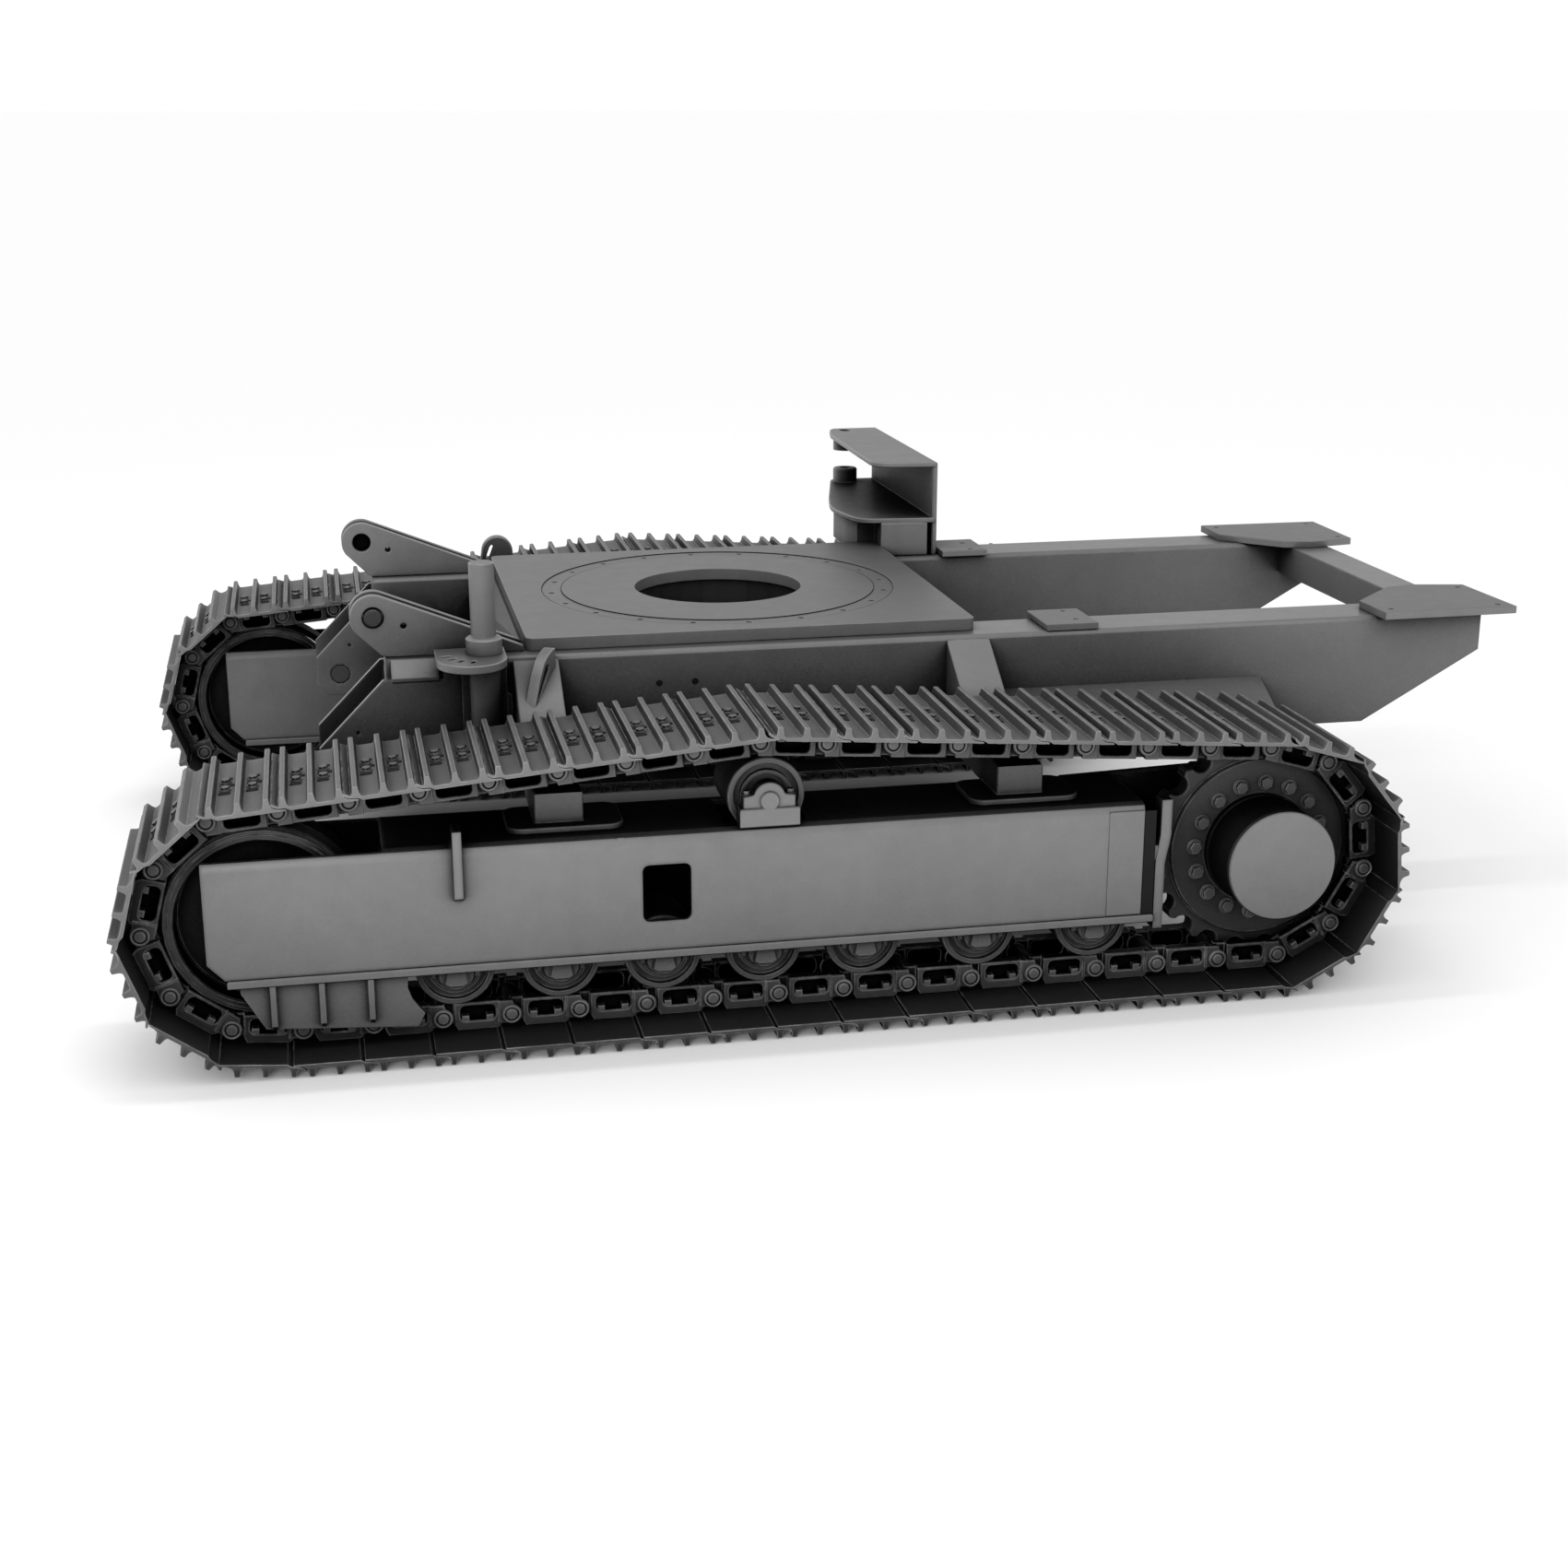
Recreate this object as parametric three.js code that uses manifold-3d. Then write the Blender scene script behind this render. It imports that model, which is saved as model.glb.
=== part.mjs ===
// Steel crawler undercarriage: two track units carried by a welded centre frame.
// +X points to the drive sprockets, +Y to the far track, +Z up; z = 0 is the ground.
// While it is built, x = 0 is the slewing axis; the group is moved at the end so that
// the origin is the middle of its footprint. All lengths are millimetres.
import * as THREE from 'three';
import { mergeVertices } from 'three/addons/utils/BufferGeometryUtils.js';
import Module from 'manifold-3d';

const wasm = await Module();
wasm.setup();

// ---------------------------------------------------------------- driving dimensions
const GAP = 0.3; // between pieces that touch
const PITCH = 171.45; // chain pitch, 6 3/4 in
const TRACK_Y = 1100.5; // centre of each track
const PIN_Z = 73.9; // lower pins above the ground
const LOWER_PIN_X = -917.3; // one pin of the lower run
const LOWER_RUN = [-2, 13]; // first and last pin of the lower run, in pitches from it

const SPROCKET = { x: 1259.4, z: 364.7, pitchRadius: 290.8, root: 262, tip: 300 };
const SPROCKET_TEETH = 21; // the chain meets every second one
const SPROCKET_PHASE = -46.66; // degrees, first pin on the sprocket
const SPROCKET_PINS = 5;
const IDLER = { x: -1342.5, z: 362.2, pitchRadius: 288.3, tread: 237, flange: 252 };
const IDLER_PHASE = 113.45; // degrees, first pin on the idler
const IDLER_STEP = 34.6;
const IDLER_PINS = 5;
const UPPER_PEAK = { x: -105, z: 747 }; // pin that rides over the carrier roller
const UPPER_SPAN = 8; // links on each side of the peak

const RAIL_HEIGHT = 36; // running face of a link from the pins
const RAIL = [53, 95]; // link side plates, from the track's centre
const PIN_HALF = 60; // the pins end inside the side plates
const PIN_RADIUS = 22;
const SHOE_HALF = 225;
const SHOE = { under: 38, face: 48, tip: PIN_Z }; // from the pins, outwards
const GROUSERS = [16.6, 83.2, 149.8]; // along a link
const GROUSER_HALF = 13;

const FRAME = { front: -1477, rear: 895, half: 152.5, top: 543, bottom: 238.3, wall: 14 };
const SLOT_END = -1048; // rear end of the idler slot in the frame's top
const WINDOW = { x: [-415, -293], z: [314, 463], radius: 16 };
const ROLLER = { radius: 98.5, z: 209, half: 97 };
const ROLLER_X = [-882, -620, -360, -100, 162, 470, 779];
const CARRIER = { x: -92, z: 609.5, radius: 99 };
const STRIP = { bottom: 217, inner: 107, outer: 160, rear: 927, front: -1432 };
const HUB = { radius: 147.4, face: 209.8 };
const RING = { radius: 244.4, face: 41.8 };
const SPRING = { z: 430, radius: 85, bore: 48, front: -940, rear: -478 };

const BEAM = { inner: 468, outer: 645, bottom: 551, top: 862, front: -1000, rear: 2130 };
const FORK = { inner: [386, 404], outer: [627, 645] };
const PLATE = { halfX: 625, halfY: 586.5, top: 896.5, bore: 247, boltCircle: 494, bolts: 20 };
const ARM = { front: -607.5, rear: 588, half: 61 };
const LUG = { x: -626, y: -787, turn: 59.7, thickness: 31 };
const EAR = { x: -1025.6, z: 970, radius: 61, bore: 28, plates: [[500, 520], [562, 582]] };
const POST = { x: -745, y: -692, radius: 33, top: 1131, flangeTop: 890, flange: 22 };
const TOWER = { top: 1163, shelf: 984, wall: 809, end: 1320, sheet: 16 };

// ---------------------------------------------------------------- materials
const steel = (color, roughness = 0.55, metalness = 0.35) =>
  new THREE.MeshStandardMaterial({ color, roughness, metalness });
const PAINT = steel(0x777777);
const DARK_PAINT = steel(0x5c5c5c);
const FORGED = steel(0x666666, 0.6, 0.5);
const WORN = steel(0x8c8c8c, 0.35, 0.8);

// ---------------------------------------------------------------- solid helpers
const X = new THREE.Vector3(1, 0, 0);
const Y = new THREE.Vector3(0, 1, 0);
const Z = new THREE.Vector3(0, 0, 1);
const ALONG_Y = new THREE.Matrix4().makeBasis(X, Z, Y.clone().negate());
const ALONG_X = new THREE.Matrix4().makeBasis(Y, Z, X);

function solid(geometry) {
  const bare = geometry.clone();
  bare.deleteAttribute('normal');
  bare.deleteAttribute('uv');
  const merged = mergeVertices(bare, 1e-3);
  const index = new Uint32Array(merged.index.array);
  const build = () => new wasm.Manifold(new wasm.Mesh({
    numProp: 3, vertProperties: merged.attributes.position.array, triVerts: index,
  }));
  const made = build();
  if (made.volume() > 0) return made;
  for (let i = 0; i < index.length; i += 3) {
    [index[i + 1], index[i + 2]] = [index[i + 2], index[i + 1]];
  }
  return build();
}

const join = (...parts) => parts.flat().reduce((a, b) => a.add(b));
const cut = (body, ...tools) => tools.flat().reduce((a, b) => a.subtract(b), body);
const path2d = (points) => points.map(([a, b]) => new THREE.Vector2(a, b));

// A prism of an outline, with holes, between two places on its axis.
function prism(points, from, to, holes = [], basis = null) {
  const shape = new THREE.Shape(path2d(points));
  holes.forEach((hole) => shape.holes.push(new THREE.Path(path2d(hole))));
  const low = Math.min(from, to);
  const high = Math.max(from, to);
  const geometry = new THREE.ExtrudeGeometry(shape, { depth: high - low, bevelEnabled: false });
  if (basis) geometry.applyMatrix4(basis);
  if (basis === ALONG_Y) geometry.translate(0, high, 0);
  else if (basis === ALONG_X) geometry.translate(low, 0, 0);
  else geometry.translate(0, 0, low);
  return solid(geometry);
}
const prismY = (xz, from, to, holes) => prism(xz, from, to, holes, ALONG_Y);
const prismX = (yz, from, to, holes) => prism(yz, from, to, holes, ALONG_X);
const prismZ = (xy, from, to, holes) => prism(xy, from, to, holes);

function box(x, y, z) {
  const size = [x, y, z].map(([a, b]) => Math.abs(b - a));
  const middle = [x, y, z].map(([a, b]) => (a + b) / 2);
  return solid(new THREE.BoxGeometry(...size).translate(...middle));
}

// A solid of revolution about an axis along Y through (x, z); the profile is [radius, y].
function turned(profile, x, z, segments) {
  const points = path2d(profile);
  if (profile[0][0] > 0) points.push(points[0].clone());
  return solid(new THREE.LatheGeometry(points, segments).translate(x, 0, z));
}

function cylinderY(x, z, radius, y, segments = 16) {
  const length = Math.abs(y[1] - y[0]);
  const geometry = new THREE.CylinderGeometry(radius, radius, length, segments);
  return solid(geometry.translate(x, (y[0] + y[1]) / 2, z));
}

function cylinderX(y, z, radius, x, segments = 16) {
  const geometry = new THREE.CylinderGeometry(radius, radius, x[1] - x[0], segments);
  return solid(geometry.rotateZ(-Math.PI / 2).translate((x[0] + x[1]) / 2, y, z));
}

function cylinderZ(x, y, radius, z, segments = 16) {
  const geometry = new THREE.CylinderGeometry(radius, radius, z[1] - z[0], segments);
  return solid(geometry.rotateX(Math.PI / 2).translate(x, y, (z[0] + z[1]) / 2));
}

const radians = (degrees) => (degrees * Math.PI) / 180;
function arc(cx, cy, radius, fromDegrees, toDegrees, steps) {
  return Array.from({ length: steps + 1 }, (_, i) => {
    const angle = radians(fromDegrees + ((toDegrees - fromDegrees) * i) / steps);
    return [cx + radius * Math.cos(angle), cy + radius * Math.sin(angle)];
  });
}
const circle = (cx, cy, radius, count) => arc(cx, cy, radius, 0, 360, count).slice(0, count);
const roundedBox = ([a0, a1], [b0, b1], r, steps = 3) => [
  ...arc(a1 - r, b1 - r, r, 0, 90, steps), ...arc(a0 + r, b1 - r, r, 90, 180, steps),
  ...arc(a0 + r, b0 + r, r, 180, 270, steps), ...arc(a1 - r, b0 + r, r, 270, 360, steps),
];

const undercarriage = new THREE.Group();
function add(name, body, material) {
  const { vertProperties, triVerts } = body.getMesh();
  const geometry = new THREE.BufferGeometry();
  geometry.setAttribute('position', new THREE.BufferAttribute(vertProperties, 3));
  geometry.setIndex(new THREE.BufferAttribute(triVerts, 1));
  const faceted = geometry.toNonIndexed();
  faceted.computeVertexNormals();
  const mesh = new THREE.Mesh(faceted, material);
  mesh.name = name;
  undercarriage.add(mesh);
}

// ---------------------------------------------------------------- the chain's route
// Pins in order: back along the ground, up round the sprocket, forward, down the idler.
function pinRoute() {
  const onCircle = (wheel, degrees) => [
    wheel.x + wheel.pitchRadius * Math.cos(radians(degrees)),
    wheel.z + wheel.pitchRadius * Math.sin(radians(degrees)),
  ];
  const between = (a, b, count) => Array.from({ length: count - 1 }, (_, i) => {
    const t = (i + 1) / count;
    return [a[0] + (b[0] - a[0]) * t, a[1] + (b[1] - a[1]) * t];
  });
  const step = 720 / SPROCKET_TEETH;
  const lower = [];
  for (let k = LOWER_RUN[0]; k <= LOWER_RUN[1]; k += 1) lower.push([LOWER_PIN_X + k * PITCH, PIN_Z]);
  const rear = Array.from({ length: SPROCKET_PINS },
    (_, i) => onCircle(SPROCKET, SPROCKET_PHASE + i * step));
  const front = Array.from({ length: IDLER_PINS },
    (_, i) => onCircle(IDLER, IDLER_PHASE + i * IDLER_STEP));
  const peak = [UPPER_PEAK.x, UPPER_PEAK.z];
  const upper = [
    ...between(rear.at(-1), peak, UPPER_SPAN), peak, ...between(peak, front[0], UPPER_SPAN),
  ];
  return [...lower, ...rear, ...upper, ...front];
}

const PINS = pinRoute();
const LINKS = PINS.map((a, i) => {
  const b = PINS[(i + 1) % PINS.length];
  const length = Math.hypot(b[0] - a[0], b[1] - a[1]);
  const along = [(b[0] - a[0]) / length, (b[1] - a[1]) / length];
  return { a, length, along, out: [along[1], -along[0]] };
});
const onLink = (link, t, height) => [
  link.a[0] + link.along[0] * t + link.out[0] * height,
  link.a[1] + link.along[1] * t + link.out[1] * height,
];

// A line at a height outside the pins, mitred where the chain bends.
const STRAIGHT = 0.9999;
const offsetLine = (height) => LINKS.flatMap((link, i) => {
  const before = LINKS[(i + LINKS.length - 1) % LINKS.length];
  const turn = link.out[0] * before.out[0] + link.out[1] * before.out[1];
  if (turn > STRAIGHT) return [];
  const middle = [link.out[0] + before.out[0], link.out[1] + before.out[1]];
  const scale = height / (1 + turn);
  return [[link.a[0] + middle[0] * scale, link.a[1] + middle[1] * scale]];
});

// Shoe plates hooked into one band, each with three low grousers.
function shoeBand(at) {
  const outer = LINKS.flatMap((link) =>
    GROUSERS.flatMap((t) => [
      onLink(link, t - GROUSER_HALF, SHOE.face),
      onLink(link, t, SHOE.tip),
      onLink(link, t + GROUSER_HALF, SHOE.face),
    ]));
  return prismY(outer, at(-SHOE_HALF), at(SHOE_HALF), [offsetLine(SHOE.under)]);
}

// Two rows of link side plates joined by the pins; no bush where the teeth pass.
function linkChain(at) {
  const rows = [-1, 1].map((row) => prismY(
    offsetLine(SHOE.under - GAP), at(row * RAIL[0]), at(row * RAIL[1]), [offsetLine(-RAIL_HEIGHT)]));
  const reach = SPROCKET.tip + PIN_RADIUS;
  const pins = PINS
    .filter(([x, z]) => Math.hypot(x - SPROCKET.x, z - SPROCKET.z) > reach)
    .map(([x, z]) => cylinderY(x, z, PIN_RADIUS, [at(-PIN_HALF), at(PIN_HALF)], 4));
  return join(rows, pins);
}

// ---------------------------------------------------------------- track frame
function trackFrame(at) {
  const { half, top, bottom, wall, front, rear } = FRAME;
  const section = [
    [at(-half), bottom], [at(-half + wall), bottom], [at(-half + wall), top - wall],
    [at(half - wall), top - wall], [at(half - wall), bottom], [at(half), bottom],
    [at(half), top - 24], [at(half - 7), top - 7], [at(half - 24), top],
    [at(-half + 24), top], [at(-half + 7), top - 7], [at(-half), top - 24],
  ];
  const channel = prismX(section, front, rear);
  const idlerSlot = box([front - 5, SLOT_END], [at(-half + wall), at(half - wall)], [top - 50, top + 9]);
  const toe = prismY([[front - 5, bottom - 5], [front + 46, bottom - 5], [front - 5, 287]],
    at(-half - 5), at(half + 5));
  const window = prismY(roundedBox(WINDOW.x, WINDOW.z, WINDOW.radius), at(half - 20), at(half + 5));
  const carrierWell = box([CARRIER.x - 106, CARRIER.x + 106], [at(-104), at(101)], [top - 50, top + 9]);
  const springSeat = box([SPRING.rear, SPRING.rear + 20], [at(-half + 5), at(half - 5)],
    [bottom + 10, top - 5]);
  const rib = prismX([
    [at(half - 5), 400], [at(half + 20), 415], [at(half + 20), 586],
    [at(100), 586], [at(100), top - 5], [at(half - 5), top - 5],
  ], -880, -858);
  const { x, z } = SPROCKET;
  const drivePlate = prismY([
    [760, bottom], [STRIP.rear + 3, bottom], ...arc(x, z, 190, 262, 450, 10), [760, top - 5],
  ], at(-half), at(-half + 22), [circle(x, z, 104, 16)]);
  const guard = prismY([
    [941, 548], [941, 455], [930, 380], [930, 197], [955, 197], [955, 375], [969, 450], [969, 548],
  ], at(104), at(half));
  const guardTie = box([rear - 12, 940], [at(112), at(half - 2)], [385, 425]);
  const shell = cut(channel, idlerSlot, carrierWell, toe, window);
  return join(shell, springSeat, rib, drivePlate, guard, guardTie);
}

// Bottom flanges with the fixed shafts and end collars of the rollers.
function rollerMount(at) {
  const strip = (side) => box([STRIP.front, STRIP.rear],
    [at(side * STRIP.inner), at(side * STRIP.outer)], [STRIP.bottom, FRAME.bottom - GAP]);
  const { z } = ROLLER;
  const shafts = ROLLER_X.flatMap((x) => [
    cylinderY(x, z, 24, [at(-112), at(112)], 6),
    ...[-1, 1].map((side) => prismY([
      [x - 50, STRIP.bottom + 8], [x - 50, z - 12], [x - 30, z - 46], [x + 30, z - 46], [x + 50, z - 12],
      [x + 50, STRIP.bottom + 8],
    ], at(side * 110), at(side * 134))),
  ]);
  return join(strip(1), strip(-1), shafts);
}

function roller(at, { x, z, radius }) {
  const half = ROLLER.half;
  return turned([[28, at(-half)], [radius, at(-half)], [radius, at(half)], [28, at(half)]], x, z, 12);
}

function carrierBracket(at) {
  const { x, z } = CARRIER;
  const pedestal = box([x - 76, x + 76], [at(102), at(FRAME.half)], [FRAME.top + GAP, 592]);
  const clamp = prismY([
    [x - 66, 585], [x + 66, 585], [x + 66, 622], [x + 42, 626], ...arc(x, 617, 40, 20, 160, 6),
    [x - 42, 626], [x - 66, 622],
  ], at(106), at(146));
  return join(pedestal, clamp, cylinderY(x, z, 22, [at(-88), at(FRAME.half)], 8));
}

// Deflector plate under the front of the frame, stiffened by three ribs.
function rockGuard(at) {
  const top = STRIP.bottom - GAP;
  const sheet = prismY([
    [-1403, top], [-1403, 198], [-1348, 101], [-980, 78], [-962, 112], [-976, 129], [-992, 152], [-1002, 182],
    [-1000, top],
  ], at(126), at(142));
  const ribs = [-1326, -1209, -1091].map((x) =>
    prismX([[at(140), 96], [at(158), 112], [at(158), top], [at(140), top]], x - 7, x + 7));
  return join(sheet, ribs);
}

// ---------------------------------------------------------------- wheels at the ends
function sprocket(at) {
  const { x, z, root, tip } = SPROCKET;
  const pitch = 360 / SPROCKET_TEETH;
  const outline = Array.from({ length: SPROCKET_TEETH }, (_, i) => {
    const middle = SPROCKET_PHASE + pitch * (i + 0.5);
    return [[root, -0.36], [tip, -0.14], [tip, 0.14], [root, 0.36]].map(([radius, part]) => {
      const angle = radians(middle + part * pitch);
      return [x + radius * Math.cos(angle), z + radius * Math.sin(angle)];
    });
  }).flat();
  const bore = circle(x, z, 131, 18);
  const rim = prismY(outline, at(-28), at(28), [bore]);
  const ring = prismY(circle(x, z, RING.radius, 24), at(26), at(RING.face), [bore]);
  return join(rim, ring);
}

function finalDrive(at) {
  const start = -FRAME.half + 22 + 1.5;
  return turned([
    [0, at(HUB.face)], [HUB.radius, at(HUB.face)], [HUB.radius, at(RING.face + GAP)],
    [126, at(RING.face + GAP)], [126, at(-95)], [100, at(-95)], [100, at(start)], [0, at(start)],
  ], SPROCKET.x, SPROCKET.z, 24);
}

function travelMotor(at) {
  const face = -FRAME.half;
  return turned([
    [0, at(face + 20)], [98, at(face + 20)], [98, at(face - GAP)], [160, at(face - GAP)],
    [160, at(face - 24)], [105, at(face - 24)], [105, at(face - 190)], [78, at(face - 215)],
    [78, at(face - 270)], [0, at(face - 270)],
  ], SPROCKET.x, SPROCKET.z, 14);
}

function idler(at) {
  const { tread, flange } = IDLER;
  return turned([
    [43, at(-60)], [205, at(-30)], [205, at(-95)], [tread, at(-95)], [tread, at(-48)],
    [flange, at(-42)], [flange, at(42)], [tread, at(48)], [tread, at(95)], [205, at(95)],
    [205, at(30)], [43, at(60)],
  ], IDLER.x, IDLER.z, 18);
}

// Fork that carries the idler's axle and pushes on the recoil spring.
function idlerYoke(at) {
  const { x, z } = IDLER;
  const arms = [-1, 1].map((side) =>
    box([x - 60, -1010], [at(side * 108), at(side * 130)], [z - 35, z + 35]));
  const axle = cylinderY(x, z, 40, [at(-131), at(131)], 12);
  const crosshead = box([-1050, -1010], [at(-130), at(130)], [z - 35, SPRING.z + 32]);
  const rod = cylinderX(at(0), SPRING.z, 30, [-1015, -560], 12);
  return join(arms, axle, crosshead, rod);
}

function recoilSpring(at) {
  const ring = (radius) => circle(at(0), SPRING.z, radius, 14);
  return prismX(ring(SPRING.radius), SPRING.front, SPRING.rear - GAP, [ring(SPRING.bore)]);
}

// ---------------------------------------------------------------- track units
function trackUnit(name, sign) {
  const at = (outboard) => sign * (TRACK_Y + outboard);
  add(`track_frame_${name}`, trackFrame(at), PAINT);
  add(`roller_mount_${name}`, rollerMount(at), PAINT);
  add(`rock_guard_${name}`, rockGuard(at), PAINT);
  ROLLER_X.forEach((x, i) => add(`track_roller_${name}_${i + 1}`, roller(at, { ...ROLLER, x }), FORGED));
  add(`carrier_roller_${name}`, roller(at, CARRIER), FORGED);
  add(`carrier_bracket_${name}`, carrierBracket(at), PAINT);
  add(`sprocket_${name}`, sprocket(at), FORGED);
  add(`final_drive_${name}`, finalDrive(at), PAINT);
  add(`travel_motor_${name}`, travelMotor(at), DARK_PAINT);
  add(`idler_${name}`, idler(at), WORN);
  add(`idler_yoke_${name}`, idlerYoke(at), FORGED);
  add(`recoil_spring_${name}`, recoilSpring(at), DARK_PAINT);
  add(`link_chain_${name}`, linkChain(at), FORGED);
  add(`shoe_band_${name}`, shoeBand(at), FORGED);
}

// ---------------------------------------------------------------- centre frame
function turntablePlate() {
  const outline = roundedBox([-PLATE.halfX, PLATE.halfX], [-PLATE.halfY, PLATE.halfY], 22, 2);
  const bolts = circle(0, 0, PLATE.boltCircle, PLATE.bolts).map(([x, y]) => circle(x, y, 9, 4));
  const bore = circle(0, 0, PLATE.bore, 32);
  return prismZ(outline, BEAM.top + GAP, PLATE.top, [bore, ...bolts]);
}

// Box under the turntable: floor, drum, end walls, front apron and front cross member.
function centreFrame() {
  const side = BEAM.inner - GAP;
  const wide = [-side, side];
  const square = roundedBox([-PLATE.halfX, PLATE.halfX], wide, 2, 1);
  const inside = circle(0, 0, 262, 24);
  const floor = prismZ(square, BEAM.bottom, BEAM.bottom + 14, [inside]);
  const drum = prismZ(circle(0, 0, 284, 24), BEAM.bottom, BEAM.top, [inside]);
  const wall = (x) => box([x - 10, x + 10], wide, [BEAM.bottom, BEAM.top]);
  const spine = [-1, 1].map((s) => box([s * 275, s * 620], [-10, 10], [BEAM.bottom, BEAM.top]));
  const ribs = [-1, 1].map((s) => box([-10, 10], [s * 275, s * side], [BEAM.bottom, BEAM.top]));
  const apron = prismY([[-620, 862], [-625, 850], [-705, 792], [-711, 800], [-632, 862]], -side, side);
  const member = box([-959.7, -800], wide, [BEAM.bottom, 760]);
  const link = box([-805, -620], [-60, 60], [BEAM.bottom, 700]);
  return join(floor, drum, wall(-615), wall(615), spine, ribs, apron, member, link);
}

// Box beam with a raked tail; at the front two plates make the fork for an attachment.
function mainBeam(sign) {
  const { inner, outer, bottom, top, front, rear } = BEAM;
  const edge = 12;
  const section = [
    [inner, bottom], [outer, bottom], [outer, top - edge], [outer - 4, top - 4], [outer - edge, top],
    [inner + edge, top], [inner + 4, top - 4], [inner, top - edge],
  ].map(([y, z]) => [sign * y, z]);
  const bar = prismX(section, front, rear);
  const tail = prismY([[1780, bottom - 5], [1780, bottom], [rear + 5, 752], [rear + 5, bottom - 5]],
    sign * (inner - 5), sign * (outer + 5));
  const step = box([front - 5, -850], [sign * 606, sign * (outer + 5)], [812, top + 5]);
  const chamfer = prismX([[604, top], [outer, 818], [outer, 806], [604, 806]]
    .map(([y, z]) => [sign * y, z]), front + 14, -862);
  const hollow = box([-840, 1765], [sign * (inner + 12), sign * (outer - 12)], [bottom + 12, top - 12]);
  const drain = cylinderZ(1500, sign * (inner + 88), 16, [bottom - 5, bottom + 20], 6);
  const forkOutline = [
    [-960, 815], [-1009, 815], [-1183, 638], [-1185, 560], [-1150, 520], [-990, 520], [-960, bottom + 8],
  ];
  const forkHoles = [circle(-1113, 586, 31, 10), circle(-1080.6, 675.6, 7, 4)];
  const forkPlates = [FORK.inner, FORK.outer].map((y) =>
    prismY(forkOutline, sign * y[0], sign * y[1], forkHoles));
  const forkWall = box([-1000, -962], [sign * (FORK.inner[0] + 2), sign * outer], [bottom, 800]);
  return join(cut(bar, tail, step, hollow, drain), chamfer, forkPlates, forkWall);
}

function rearCrossBeam() {
  const side = BEAM.inner - GAP;
  return box([1992, 2115], [-side, side], [762, BEAM.top]);
}

function cornerPlate(sign) {
  const outline = [[1803, 702], [1800, 535], [1965, 372], [2050, 352], [2206, 384], [2212, 696]];
  const holes = [[1840, 657], [2170, 662], [2173, 417]];
  return prismZ(outline.map(([x, y]) => [x, sign * y]), BEAM.top + GAP, 884,
    holes.map(([x, y]) => circle(x, sign * y, 9, 6)));
}

function mountingPad(sign) {
  const outline = [[818, 450], [968, 450], [968, 640], [818, 640]];
  const holes = [[917, 475], [920, 580]];
  return prismZ(outline.map(([x, y]) => [x, sign * y]), BEAM.top + GAP, 880,
    holes.map(([x, y]) => circle(x, sign * y, 8, 6)));
}

// Arm from the main beam down to a saddle plate on the track frame.
function crossArm(sign, x) {
  const start = BEAM.outer + GAP;
  const saddleTop = FRAME.top + GAP + 14;
  const profile = [
    [start, 556], [start, 852], [880, 690], [960, 640], [1150, 632], [1150, FRAME.top + 8],
    [940, FRAME.top + 8], [900, 556],
  ].map(([y, z]) => [sign * y, z]);
  const arm = prismX(profile, x - ARM.half, x + ARM.half);
  const middle = Math.sign(x) * 594;
  const saddle = prismZ(roundedBox([middle - 146, middle + 146], [sign * 1000, sign * 1192]
    .sort((a, b) => a - b), 40), FRAME.top + GAP, saddleTop);
  return join(arm, saddle);
}

// Tie-down lug: an arched fin with a slanting eye, standing askew on the front arm's slope.
function tieLug(sign) {
  const outline = [
    [-25, 735], [60, 760], [167, 830], [167, 860], [162, 882], [138, 888], [118, 886], [91, 877],
    [67, 862], [39, 827], [0, 754],
  ];
  const eye = [[31, 772], [24, 779], [76, 846], [87, 852], [96, 848], [96, 836]];
  const plate = prismY(outline, 0, LUG.thickness, [eye]);
  const beamRoom = box([-700, -500], [-BEAM.outer - GAP, -500], [700, 900]);
  const lug = cut(plate.rotate([0, 0, LUG.turn]).translate([LUG.x, LUG.y, 0]), beamRoom);
  return sign < 0 ? lug : lug.mirror([0, 1, 0]);
}

function pivotEar(sign) {
  const floor = BEAM.top + GAP;
  const outline = [
    [-632, floor], [-990, floor], [-1008, 867], ...arc(EAR.x, EAR.z, EAR.radius, 216, 68, 7),
    [-632, 878],
  ];
  const holes = [circle(EAR.x, EAR.z, EAR.bore, 14), circle(-946.7, 945, 8, 4)];
  const plates = EAR.plates.map(([a, b]) => prismY(outline, sign * a, sign * b, holes));
  const spacer = box([-720, -650], [sign * 515, sign * 567], [floor, 878]);
  return join(plates, spacer);
}

// Sleeve and indexing flange beside the near beam, with four slots.
function postBase() {
  const { x, y, flangeTop, flange } = POST;
  const bottom = flangeTop - flange;
  const back = -BEAM.outer + 14;
  const bow = arc(0, 0, 1, 0, -180, 8).map(([a, b]) => [-781.5 + 91.5 * a, -745 + 100 * b]);
  const outline = [[-873, back], [-690, back], ...bow];
  const slots = [196, 214, 232, 250].map((angle) => {
    const [cx, cy] = arc(x, y, 106, angle, angle, 1)[0];
    return roundedBox([cx - 15, cx + 15], [cy - 6, cy + 6], 4, 1);
  });
  const plate = prismZ(outline, bottom, flangeTop, slots);
  const sleeve = cylinderZ(x, y, 41, [640, bottom + 5], 16);
  const web = box([x - 12, x + 12], [y + 20, -BEAM.outer - GAP], [650, bottom + 5]);
  const foot = box([x - 60, x + 60], [-BEAM.outer - GAP - 12, -BEAM.outer - GAP], [650, bottom - 20]);
  return cut(join(plate, sleeve, web, foot), cylinderZ(x, y, 27, [660, flangeTop + 5], 12));
}

function swivelPost() {
  const { x, y, radius, top, flangeTop } = POST;
  const collar = cylinderZ(x, y, 48, [flangeTop + GAP, 932], 14);
  return join(collar, cylinderZ(x, y, radius, [900, top], 14), cylinderZ(x, y, 25, [665, 905], 10));
}

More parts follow.
